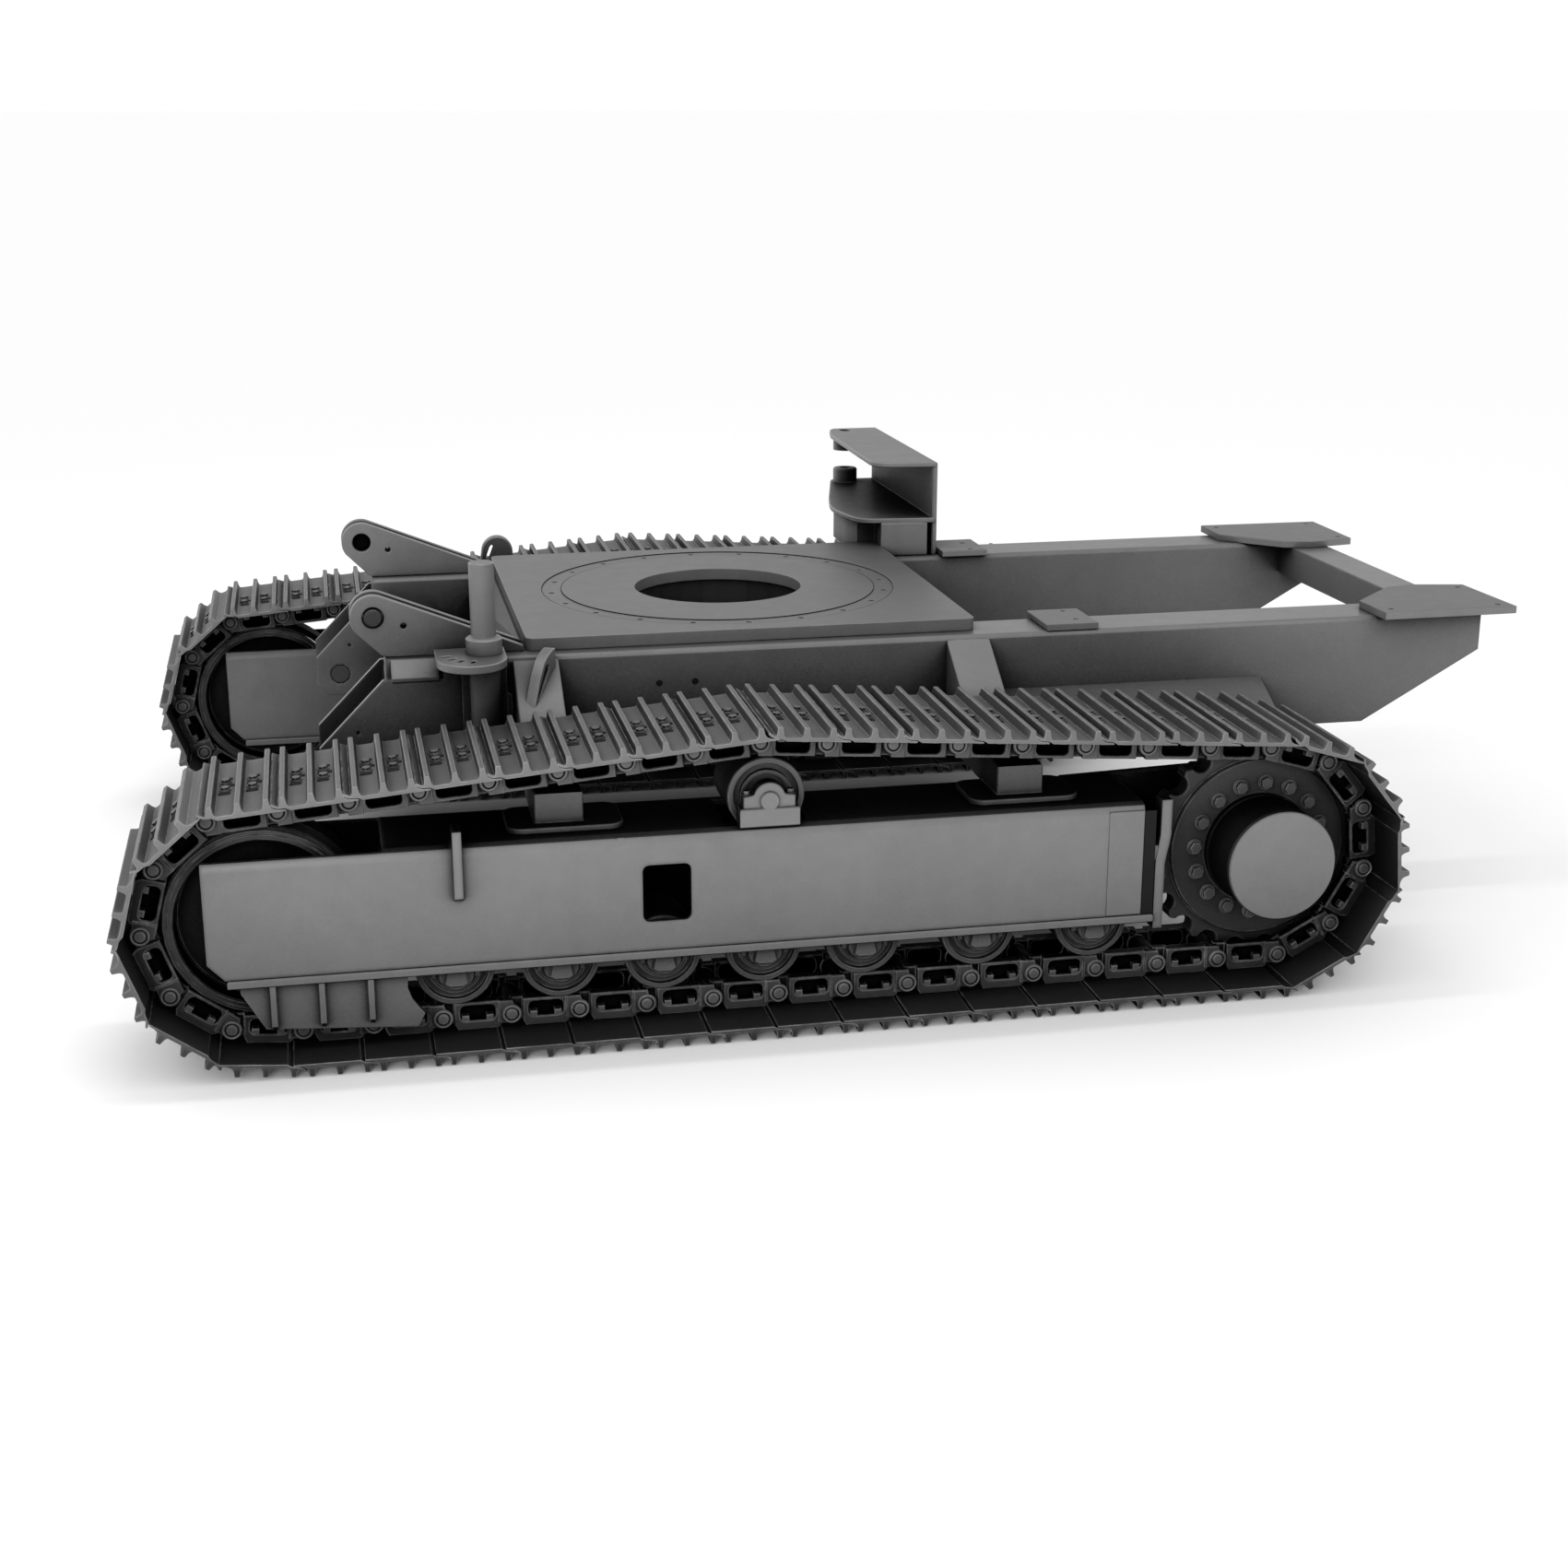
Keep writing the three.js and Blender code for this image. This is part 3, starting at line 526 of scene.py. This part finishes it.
def roller_ends():
    """Flange strips with the rollers' collars, shafts and bolts."""
    shape = Shape()
    for s in (-1, 1):
        shape.block((-1432, 927), outboard(s, STRIP_SPAN), (217, STRIP_TOP), edge=3)
        for x in ROLLER_X:
            collar = [(x - 62, 219), (x - 62, 205), (x - 46, 203),
                      *arc(x, ROLLER_Z - 4, 46, 180, 360, 14),
                      (x + 46, 203), (x + 62, 205), (x + 62, 219)]
            shape.slab(collar, *outboard(s, (108, 124)), "Y", edge=2.5)
            keeper = [(x - 22, 218), (x - 30, 178), (x - 18, 170),
                      (x + 18, 170), (x + 30, 178), (x + 22, 218)]
            shape.slab(keeper, *outboard(s, (120, 133)), "Y", edge=3)
            for end in (-1, 1):
                shape.bolt(9, 206, 194, (x + end * 54, s * 116), "Z")
    for x in ROLLER_X:
        shape.rod(24, -123, 123, (x, ROLLER_Z), edge=2)
    return shape


def carrier_clamp():
    """Pedestal, clamp and shaft of the carrier roller."""
    x = CARRIER[0]
    shape = Shape()
    shape.block((x - 76, x + 76), (102, FRAME_HALF), (FRAME_TOP + GAP, 592), edge=3)
    clamp = [(x - 66, 586), (x + 66, 586), (x + 66, 622), (x + 44, 625),
             *arc(x, 617, 40, 15, 165, 14), (x - 44, 625), (x - 66, 622)]
    shape.slab(clamp, 106, 146, "Y", edge=2.5)
    shape.rod(25, -90, 152, CARRIER, edge=3, steps=40)
    for side in (-1, 1):
        shape.bolt(10, 622, 634, (x + side * 55, 126), "Z")
    return shape


def frame_end():
    """Welded end section of the track frame's side, with its seam."""
    return Shape().slab(rounded((799, 894.5), (240, 524), 3, 3), 151, 154.2, "Y", edge=1.4)


def frame_gap():
    """Shadowed gap between the frame's end and the chain guard."""
    return Shape().block((896, 927), (236, 522), (149, 152.6), "Y", edge=0.3)


def sprocket_rim():
    """Toothed plate with a bolting ring in front and a flat ring behind."""
    x, z = SPROCKET["x"], SPROCKET["z"]
    step = 360 / TEETH
    outline = []
    for i in range(TEETH):
        seat = SPROCKET["phase"] + step * i
        cx, cz = on_wheel(SPROCKET, seat)
        outline += arc(cx, cz, 28, seat + 268, seat + 92, 8)
        for lean in (0.41, 0.46, 0.54, 0.59):
            radius = SPROCKET["tip"] if 0.45 < lean < 0.55 else SPROCKET["tip"] - 3
            angle = math.radians(seat + step * lean)
            outline.append((x + radius * math.cos(angle), z + radius * math.sin(angle)))
    shape = Shape().slab(outline, -28, 28, "Y", [circle(x, z, 131, 64)], 3)
    ring = [(131, 20), (131, 36), (150, 36), (153, RING_FACE), (241, RING_FACE), (244.4, 38), (244.4, 20)]
    shape.turned(ring, (x, z), steps=96)
    back = [(131, -20), (131, -36), (236, -36), (240, -33), (240, -20)]
    return shape.turned(back, (x, z), steps=96)


def ring_bolts():
    """Circle of bolts that hold the sprocket on its hub."""
    shape = Shape()
    for i in range(RING_BOLTS):
        angle = math.radians(86.3 + i * 360 / RING_BOLTS)
        centre = (SPROCKET["x"] + RING_BOLT_CIRCLE * math.cos(angle),
                  SPROCKET["z"] + RING_BOLT_CIRCLE * math.sin(angle))
        shape.bolt(17, 41, 57, centre, "Y", phase=angle)
    return shape


def hub_cover():
    """Flat cover of the final drive."""
    profile = [(0, HUB_END), (144, HUB_END), (HUB_RADIUS, 206), (HUB_RADIUS, 192), (0, 192)]
    return Shape().turned(profile, (SPROCKET["x"], SPROCKET["z"]), steps=96)


def hub_drum():
    """Smooth drum between the cover and the sprocket, with its spigot."""
    front = [(0, 192.2), (147, 192.2), (147, 60), (149.5, 57), (149.5, 42.2), (126, 42.2)]
    profile = [*front, (126, -95), (100, -95), (100, -129), (0, -129)]
    return Shape().turned(profile, (SPROCKET["x"], SPROCKET["z"]), steps=96)


def motor():
    """Travel motor with its flange, bolts and two hose ports."""
    x, z = SPROCKET["x"], SPROCKET["z"]
    face = -FRAME_HALF
    profile = [(0, face + 19), (98, face + 19), (98, face - 0.3), (158, face - 0.3), (160, face - 3),
               (160, face - 21), (157, face - 24), (112, face - 24), (105, face - 40), (105, face - 180),
               (98, face - 200), (80, face - 215), (78, face - 262), (70, face - 270), (0, face - 270)]
    shape = Shape().turned(profile, (x, z), steps=72)
    for i in range(12):
        angle = math.tau * i / 12
        shape.bolt(11, face - 24, face - 38, (x + 137 * math.cos(angle), z + 137 * math.sin(angle)))
    shape.block((x - 46, x + 46), (face - 205, face - 120), (z + 88, z + 128), edge=4)
    for side in (-1, 1):
        shape.rod(15, z + 120, z + 146, (x + side * 22, face - 162), "Z", 20)
    return shape


def idler_wheel():
    """Idler: bright treads beside a guide flange, dished web and hub."""
    web = [(43, 60), (64, 60), (68, 54), (78, 50), (186, 34), (202, 36), (206, 40)]
    rim = [(209, 91), (213, 95), (224, 95), (226, 92), (234, 92), (237, 88), (237, 52)]
    flange = [(240, 48), (249, 42), (252, 38)]
    half = [*web, *rim, *flange]
    profile = [*half, *[(r, -o) for r, o in reversed(half)]]
    return Shape().turned(profile, (IDLER["x"], IDLER["z"]), steps=96)


def idler_treads():
    """Polished bands that the links run on."""
    shape = Shape()
    for s in (-1, 1):
        band = [(230, s * 88), (230, s * 52), (237.3, s * 52), (237.3, s * 86), (236, s * 88)]
        shape.turned(band, (IDLER["x"], IDLER["z"]), steps=96)
    return shape


def recoil_spring():
    """Coil spring round the tensioner's rod, with flat seats."""
    shape = Shape()
    steps = 20
    sides = 10
    count = SPRING["turns"] * steps
    wire = SPRING["wire"]
    part = bmesh.new()
    rings = []
    for i in range(count + 1):
        angle = math.tau * i / steps
        x = SPRING["front"] + (SPRING["rear"] - SPRING["front"]) * i / count
        outward = Vector((0, math.cos(angle), math.sin(angle)))
        centre = Vector((x, 0, SPRING["z"])) + outward * SPRING["radius"]
        ring = []
        for k in range(sides):
            turn = math.tau * k / sides
            lengthwise = Vector((wire * math.sin(turn), 0, 0))
            ring.append(part.verts.new(centre + outward * wire * math.cos(turn) + lengthwise))
        rings.append(ring)
    for one, two in zip(rings, rings[1:]):
        for k in range(sides):
            following = (k + 1) % sides
            part.faces.new((one[k], one[following], two[following], two[k]))
    part.faces.new(rings[0])
    part.faces.new(rings[-1])
    bmesh.ops.recalc_face_normals(part, faces=part.faces)
    mesh = bpy.data.meshes.new("coil")
    part.to_mesh(mesh)
    part.free()
    shape.add(mesh, Matrix.Identity(4))
    for low, high in ((-940, -915), (-505, -479)):
        shape.turned([(34, low), (84, low), (84, high), (34, high)], (0, SPRING["z"]), "X", 40)
    return shape


def build_track(name, side):
    """All pieces of one track, on the bodies that carry them."""
    repeated_pieces = (
        ("chain_links", link(), CHAIN, "chain_steel", ("link_chain_" + name,)),
        ("chain_pins", link_pin(), BOLTED, "chain_steel", ()),
        ("shoes", shoe(), SHOE, "shoe_steel", ("shoe_band_" + name,)),
        ("shoe_bolts", shoe_bolts(), FORGED, "shoe_steel", ()),
        ("painted_shade_sheets", painted_shade_sheets(), SHADE_BLACK, "chain_steel", ()),
    )
    for label, shape, material, slot, nodes in repeated_pieces:
        repeated(shape).piece(f"{label}_{name}", "root", slot, material, nodes, side)
    for i, x in enumerate(ROLLER_X, 1):
        roller((x, ROLLER_Z)).piece(f"roller_shell_{name}_{i}", f"roller_{name}_{i}", "roller_steel",
                                    FORGED, (f"track_roller_{name}_{i}",), side)
    roller(CARRIER).piece(f"carrier_shell_{name}", f"carrier_{name}", "roller_steel", FORGED,
                          (f"carrier_roller_{name}",), side)
    roller_ends().piece(f"roller_ends_{name}", "root", "frame_paint", PAINT,
                        (f"roller_mount_{name}",), side)
    carrier_clamp().piece(f"carrier_clamp_{name}", "root", "frame_paint", PAINT,
                          (f"carrier_bracket_{name}",), side)
    frame_end().piece(f"frame_end_{name}", "root", "frame_paint", PAINT, (), side)
    frame_gap().piece(f"frame_gap_{name}", "root", "frame_paint", SHADE_BLACK, (), side)
    drive = f"drive_{name}"
    sprocket_rim().piece(f"sprocket_rim_{name}", drive, "cast_drive", CAST,
                         (f"sprocket_{name}",), side)
    ring_bolts().piece(f"ring_bolts_{name}", drive, "cast_drive", BOLTED, (), side)
    hub_cover().piece(f"hub_cover_{name}", drive, "frame_paint", PAINT,
                      (f"final_drive_{name}",), side)
    # The drum's near-black finish is painted shade.
    hub_drum().piece(f"hub_drum_{name}", drive, "frame_paint", DRUM_SHADE, (), side)
    # Motor and coil spring take the dark finish as painted shade.
    motor().piece(f"motor_case_{name}", "root", "motor_paint", SHADE_DARK,
                  (f"travel_motor_{name}",), side)
    idler_wheel().piece(f"idler_rim_{name}", f"idler_wheel_{name}", "worn_steel", WHEEL,
                        (f"idler_{name}",), side)
    idler_treads().piece(f"idler_treads_{name}", f"idler_wheel_{name}", "worn_steel", BRIGHT, (), side)
    recoil_spring().piece(f"coil_spring_{name}", "root", "spring_paint", SHADE_DARK,
                          (f"recoil_spring_{name}",), side)


# ---------------------------------------------------------------- centre
def turntable():
    """Bored plate with a shallow ring groove that holds the bolt holes."""
    half_x, half_y = PLATE_HALF
    inner, outer = GROOVE
    outline = rounded((-half_x, half_x), (-half_y, half_y), 22)
    bore = circle(0, 0, PLATE_BORE, 96)
    turns = [math.tau * i / PLATE_BOLTS for i in range(PLATE_BOLTS)]
    holes = [circle(PLATE_BOLT_CIRCLE * math.cos(a), PLATE_BOLT_CIRCLE * math.sin(a), 9, 12) for a in turns]
    shape = Shape()
    shape.slab(outline, BEAM_TOP + GAP, GROOVE_FLOOR, holes=[bore, *holes], edge=0.8)
    shape.slab(outline, GROOVE_FLOOR - 1, PLATE_TOP, holes=[circle(0, 0, outer, 128)], edge=1.0)
    shape.slab(circle(0, 0, inner, 128), GROOVE_FLOOR - 1, PLATE_TOP, holes=[bore], edge=1.0)
    return shape


def ears(side):
    """Two pivot ears with a spacer between them."""
    x, z = EAR
    floor = BEAM_TOP + GAP
    outline = [(-632, floor), (-990, floor), (-1008, 867), *arc(x, z, EAR_RADIUS, 216, 68, 28), (-632, 878)]
    holes = [circle(x, z, 28, 40), circle(-946.7, 945, 8, 16)]
    shape = Shape()
    for low, high in ((500, 520), (562, 582)):
        shape.slab(outline, *outboard(side, (low, high)), "Y", holes, 2)
    return shape.block((-720, -650), outboard(side, (515, 567)), (floor, 878))


def pin_disc():
    """Pin in the near ears, near-black as painted shade."""
    return Shape().rod(EAR_PIN_RADIUS, -590, -492, EAR, edge=4, steps=40)


def far_pin():
    """Pin end deep in the far ears, black as painted shade."""
    return Shape().rod(27, 528, 560, EAR, edge=2, steps=40)


def fork_plugs(side):
    """Discs that close the fork plates' bores, dark as painted shade."""
    shape = Shape()
    for faces in ((388, 402), (629, 643)):
        shape.rod(29, *outboard(side, faces), FORK_BORE, edge=2, steps=40)
    return shape


def post_seat():
    """Sleeve with a slotted index flange, web and foot beside the near beam."""
    x, y = POST
    back = -631.0
    face = -BEAM_OUTER
    bow = [(-781.5 + 91.5 * a, -745 + 100 * b) for a, b in arc(0, 0, 1, 0, -180, 28)]
    slots = []
    for degrees in (196, 214, 232, 250):
        turn = Matrix.Rotation(math.radians(degrees), 2)
        slot = rounded((-15, 15), (-6, 6), 5, 4)
        slots.append([tuple(Vector(POST) + turn @ Vector((106 + a, b))) for a, b in slot])
    shape = Shape()
    shape.slab([(-873, back), (-690, back), *bow], 868, 890, holes=[*slots, circle(x, y, 27, 32)], edge=2)
    shape.turned([(27, 642), (39, 642), (41, 645), (41, 869), (27, 869)], POST, "Z", 48)
    shape.block((x - 12, x + 12), (y + 20, face), (650, 872))
    shape.block((x - 60, x + 60), (face - 12, face), (650, 848))
    tab = [(-695, 709), (-672, 709), (-672, 757), *arc(-683.5, 757, 11.5, 0, 180, 8)]
    return shape.slab(tab, -656, face, "Y", edge=2)


def post_tube():
    """Swivelling post with its collar, and the shank inside the sleeve."""
    profile = [(0, 1131), (30, 1131), (33, 1128), (33, 936), (44, 932), (48, 928), (48, 890.3),
               (25, 890.3), (25, 666), (22, 662), (0, 662)]
    return Shape().turned(profile, POST, "Z", 64)


def tower():
    """Bent bracket: base block round the plate's corner, shelf, wall, top plate and two bosses."""
    floor = BEAM_TOP + GAP
    end = TOWER_END
    shape = Shape()
    bore = circle(*TOWER_BOSS, TOWER_BORE, 32)
    base = [(776, 490), (625.6, 500), (625.6, 587), (566, 587), (552, 660), (550, 700),
            (550, 860), (776, 860)]
    shape.slab(base, floor, 970, edge=3)
    shelf_front = [(800, 488), (612, 508), (592, 511), (570, 521), (556, 535), (544, 563), (530, 632)]
    shelf_back = [(519, 700), (519, 760), (525, 812), (552, 945), (597, 1130), (632, 1275), (640, 1302)]
    shelf = [*shelf_front, *shelf_back, (655, end), (800, end)]
    shape.slab(shelf, 968, TOWER_SHELF, holes=[bore], edge=2.5)
    top_front = [(806, 490), (670, 508), (640, 513), (620, 524), (606, 548), (602, 580)]
    top_back = [(603, 737), (612, 1188), (630, 1280), (638, 1303), (655, end), (806, end)]
    marks = [circle(668 + 20 * i, 1292, 6, 10) for i in range(-1, 2)]
    shape.slab([*top_front, *top_back], 1147, TOWER_TOP, holes=[bore, *marks], edge=3)
    wall_top = TOWER_TOP - 0.5
    wall = [(492, floor), (650, floor), (790, 969), (end, 969), (end, wall_top), (492, wall_top)]
    shape.slab(wall, 793, 809, "X", edge=4)
    for low, high in ((TOWER_SHELF - 1, 1032), (1096, 1148)):
        boss = [(TOWER_BORE, low), (42, low), (42, high - 4), (38, high), (TOWER_BORE, high)]
        shape.turned(boss, TOWER_BOSS, "Z", 48)
    return shape


def cross_arm(side, span, saddle_x):
    """Sloping box from the beam to its saddle plate on the track frame."""
    shape = Shape()
    profile = [(BEAM_OUTER, 556), (BEAM_OUTER, 852), (880, 690), (960, 640), (1150, 632), (1150, 551),
               (940, 551), (900, 556)]
    shape.slab([(side * y, z) for y, z in profile], *span, "X", edge=3)
    length = (saddle_x - SADDLE_HALF, saddle_x + SADDLE_HALF)
    saddle = rounded(length, outboard(side, SADDLE_SPAN), 40, 8)
    floor = FRAME_TOP + GAP
    return shape.slab(saddle, floor, floor + SADDLE_THICKNESS, edge=2)


def tie_lug():
    """Arched fin with a slanting eye, askew on the front arm's slope."""
    outline = [(-25, 735), (60, 760), (142, 815), (142, 886), (130, 888), (118, 886), (91, 877),
               (67, 862), (39, 827), (0, 754)]
    eye = [(31, 772), (24, 779), (76, 846), (87, 852), (96, 848), (96, 836)]
    fin = Shape().slab(outline, 0, 31, "Y", [eye], 3)
    x, y, turn = LUG
    place = Matrix.Translation((x, y, 0)) @ Matrix.Rotation(math.radians(turn), 4, "Z")
    return Shape().add(fin.mesh(), place)


def far_lug():
    """Arched lug with a slanting eye on the far front arm."""
    outline = [(-660, 735), (-530, 735), *arc(-589, 873, 50, 8, 172, 20)]
    eye = [(-628, 850), (-616, 850), (-601, 888), (-606, 896), (-613, 890)]
    return Shape().slab(outline, 775, 806, "Y", [eye], 4)


def beam_holes(side):
    """Black discs in the beam's web, painted shade of blind holes."""
    shape = Shape()
    skin = outboard(side, (BEAM_OUTER - 1.3, BEAM_OUTER + 0.1))
    for x in BEAM_HOLES["x"]:
        shape.rod(BEAM_HOLES["radius"], *skin, (x, BEAM_HOLES["z"]), edge=0.1, steps=16)
    return shape


def panel_gap(side):
    """Black strips as painted shade of the gap under and beside the fork's cover panel."""
    skin = outboard(side, (BEAM_OUTER - 0.8, BEAM_OUTER + 0.4))
    shape = Shape().block((-984, -860), (806, 809), skin, "Y", edge=0.2)
    return shape.block((-863, -860), (806, 851), skin, "Y", edge=0.2)


def plate_lines():
    """Black rings as painted shade in the steps of the turntable's ring groove."""
    shape = Shape()
    low = GROOVE_FLOOR + 0.2
    high = PLATE_TOP - 0.2
    width = 1.6
    for radius in (GROOVE[0], GROOVE[1] - 1.5):
        line = [(radius, low), (radius + width, low), (radius + width, high), (radius, high)]
        shape.turned(line, (0, 0), "Z", 128)
    return shape


def build_centre():
    """All pieces between the tracks."""
    turntable().piece("turntable_top", "root", "machined_plate", PLATE_PAINT, ("turntable_plate",))
    plate_lines().piece("plate_lines", "root", "machined_plate", SHADE_BLACK)
    for name, side in SIDES:
        ears(side).piece(f"ear_plates_{name}", "root", "frame_paint", PAINT, (f"pivot_ear_{name}",))
        fork_plugs(side).piece(f"fork_plugs_{name}", "root", "frame_paint", SHADE_DARK)
        cross_arm(side, FRONT_ARM, -594).piece(f"front_arm_box_{name}", "root", "frame_paint", PAINT,
                                               (f"front_arm_{name}",))
        cross_arm(side, REAR_ARM, 594).piece(f"rear_arm_box_{name}", "root", "frame_paint", PAINT,
                                             (f"rear_arm_{name}",))
        beam_holes(side).piece(f"beam_holes_{name}", "root", "frame_paint", SHADE_BLACK)
        panel_gap(side).piece(f"panel_gap_{name}", "root", "frame_paint", SHADE_BLACK)
    tie_lug().piece("tie_lug_near", "root", "frame_paint", PAINT)
    far_lug().piece("tie_lug_far", "root", "frame_paint", PAINT)
    far_pin().piece("far_pin", "root", "worn_steel", SHADE_BLACK)
    pin_disc().piece("pin_disc", "root", "worn_steel", DRUM_SHADE, ("pivot_pin",))
    post_seat().piece("post_seat", "root", "frame_paint", PAINT, ("post_base",))
    post_tube().piece("post_tube", "post", "frame_paint", PAINT, ("swivel_post",))
    tower().piece("tower_plates", "root", "frame_paint", PAINT, ("tower_bracket",))


# ---------------------------------------------------------------- CAD nodes that stay
# centre_frame takes the dark finish as painted shade.
KEPT = {
    "track_frame": BENT, "rock_guard": PAINT, "idler_yoke": FORGED, "centre_frame": SHADE_DARK,
    "main_beam": BEAM_PAINT, "corner_plate": PLATE_PAINT, "mounting_pad": PLATE_PAINT,
    "rear_cross_beam": BEAM_PAINT, "hose_cover": PAINT,
}


def dress_kept_nodes():
    """Gives each kept node its finish and rounds its edges."""
    for name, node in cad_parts.items():
        for start, material in KEPT.items():
            if not name.startswith(start):
                continue
            node.data.materials.clear()
            node.data.materials.append(material)
            weld = node.modifiers.new("weld", "WELD")
            weld.merge_threshold = 0.00005
            bevel = node.modifiers.new("edge", "BEVEL")
            bevel.width = 0.0022
            bevel.segments = 2
            bevel.limit_method = "ANGLE"
            bevel.angle_limit = math.radians(40)


# ---------------------------------------------------------------- floor, light, camera
FLOOR_SPOT = (-0.29, 0, -0.001)
# Tones and fades of the shadow painted on the floor under the machine.
FLOOR_TONES = (0.98, 0.04)
SHADOW_FADES = (("X", 0.8, 1.6), ("Y", 0.6, 1.3))


def build_stage():
    """Pale floor with a soft shadow painted under the machine, and an even white sky."""
    bpy.ops.mesh.primitive_plane_add(size=900, location=FLOOR_SPOT)
    floor = bpy.context.object
    floor.name = "floor"
    material = bpy.data.materials.new("pale_floor")
    material.use_nodes = True
    nodes = material.node_tree.nodes
    links = material.node_tree.links
    shader = nodes["Principled BSDF"]
    shader.inputs["Roughness"].default_value = 0.9
    place = nodes.new("ShaderNodeTexCoord")
    apart = nodes.new("ShaderNodeSeparateXYZ")
    links.new(place.outputs["Object"], apart.inputs["Vector"])
    depths = []
    for axis, inner, outer in SHADOW_FADES:
        size = nodes.new("ShaderNodeMath")
        size.operation = "ABSOLUTE"
        links.new(apart.outputs[axis], size.inputs[0])
        fade = nodes.new("ShaderNodeMapRange")
        fade.interpolation_type = "SMOOTHSTEP"
        for i, value in enumerate((0.0, inner, outer, 1.0, 0.0)):
            fade.inputs[i].default_value = value
        links.new(size.outputs[0], fade.inputs[0])
        depths.append(fade.outputs[0])
    shadow = nodes.new("ShaderNodeMath")
    shadow.operation = "MULTIPLY"
    links.new(depths[0], shadow.inputs[0])
    links.new(depths[1], shadow.inputs[1])
    # Painted shadow: the floor's colour darkens towards the spot under the machine.
    tone = nodes.new("ShaderNodeMapRange")
    for i, value in enumerate((0.0, 0.0, 1.0, *FLOOR_TONES)):
        tone.inputs[i].default_value = value
    links.new(shadow.outputs[0], tone.inputs[0])
    links.new(tone.outputs[0], shader.inputs["Base Color"])
    floor.data.materials.append(material)
    world = bpy.data.worlds.new("studio")
    bpy.context.scene.world = world
    world.use_nodes = True
    sky = world.node_tree.nodes["Background"]
    sky.inputs["Color"].default_value = (1, 1, 1, 1)
    sky.inputs["Strength"].default_value = 1.0


def area_light(name, place, target, size, power):
    """A soft rectangular lamp that shines from its place at the target."""
    light = bpy.data.lights.new(name, "AREA")
    light.shape = "RECTANGLE"
    light.size, light.size_y = size
    light.energy = power
    made = bpy.data.objects.new(name, light)
    made.location = place
    made.rotation_euler = (Vector(target) - Vector(place)).to_track_quat("-Z", "Y").to_euler()
    bpy.context.scene.collection.objects.link(made)


CAMERA_PLACE = Vector((-1.1455 + SLEW_X, -6.518, 2.2806))
CAMERA_LOOK = Vector((0.19372, 0.93729, -0.28975))
CAMERA_LENS = 51.96


def build_lights_and_camera():
    """Three soft lamps, and a camera low beside the front of the near track."""
    area_light("strip", (-1.1, -0.9, 4.2), (-1.1, -0.9, 0.5), (2.4, 0.14), 30)
    area_light("key", (-2.8, -7.0, 2.6), (-0.2, -0.8, 0.4), (3.0, 0.8), 130)
    area_light("rim", (-3.0, 5.5, 4.2), (0, 0.6, 0.6), (4.0, 1.2), 25)
    bpy.context.scene.view_settings.view_transform = "Standard"
    camera = bpy.data.cameras.new("camera")
    camera.lens = CAMERA_LENS
    camera.sensor_width = 36
    made = bpy.data.objects.new("camera", camera)
    made.location = CAMERA_PLACE
    made.rotation_euler = CAMERA_LOOK.to_track_quat("-Z", "Y").to_euler()
    bpy.context.scene.collection.objects.link(made)
    bpy.context.scene.camera = made


build_stage()
build_lights_and_camera()
for track_name, track_side in SIDES:
    build_track(track_name, track_side)
build_centre()
dress_kept_nodes()
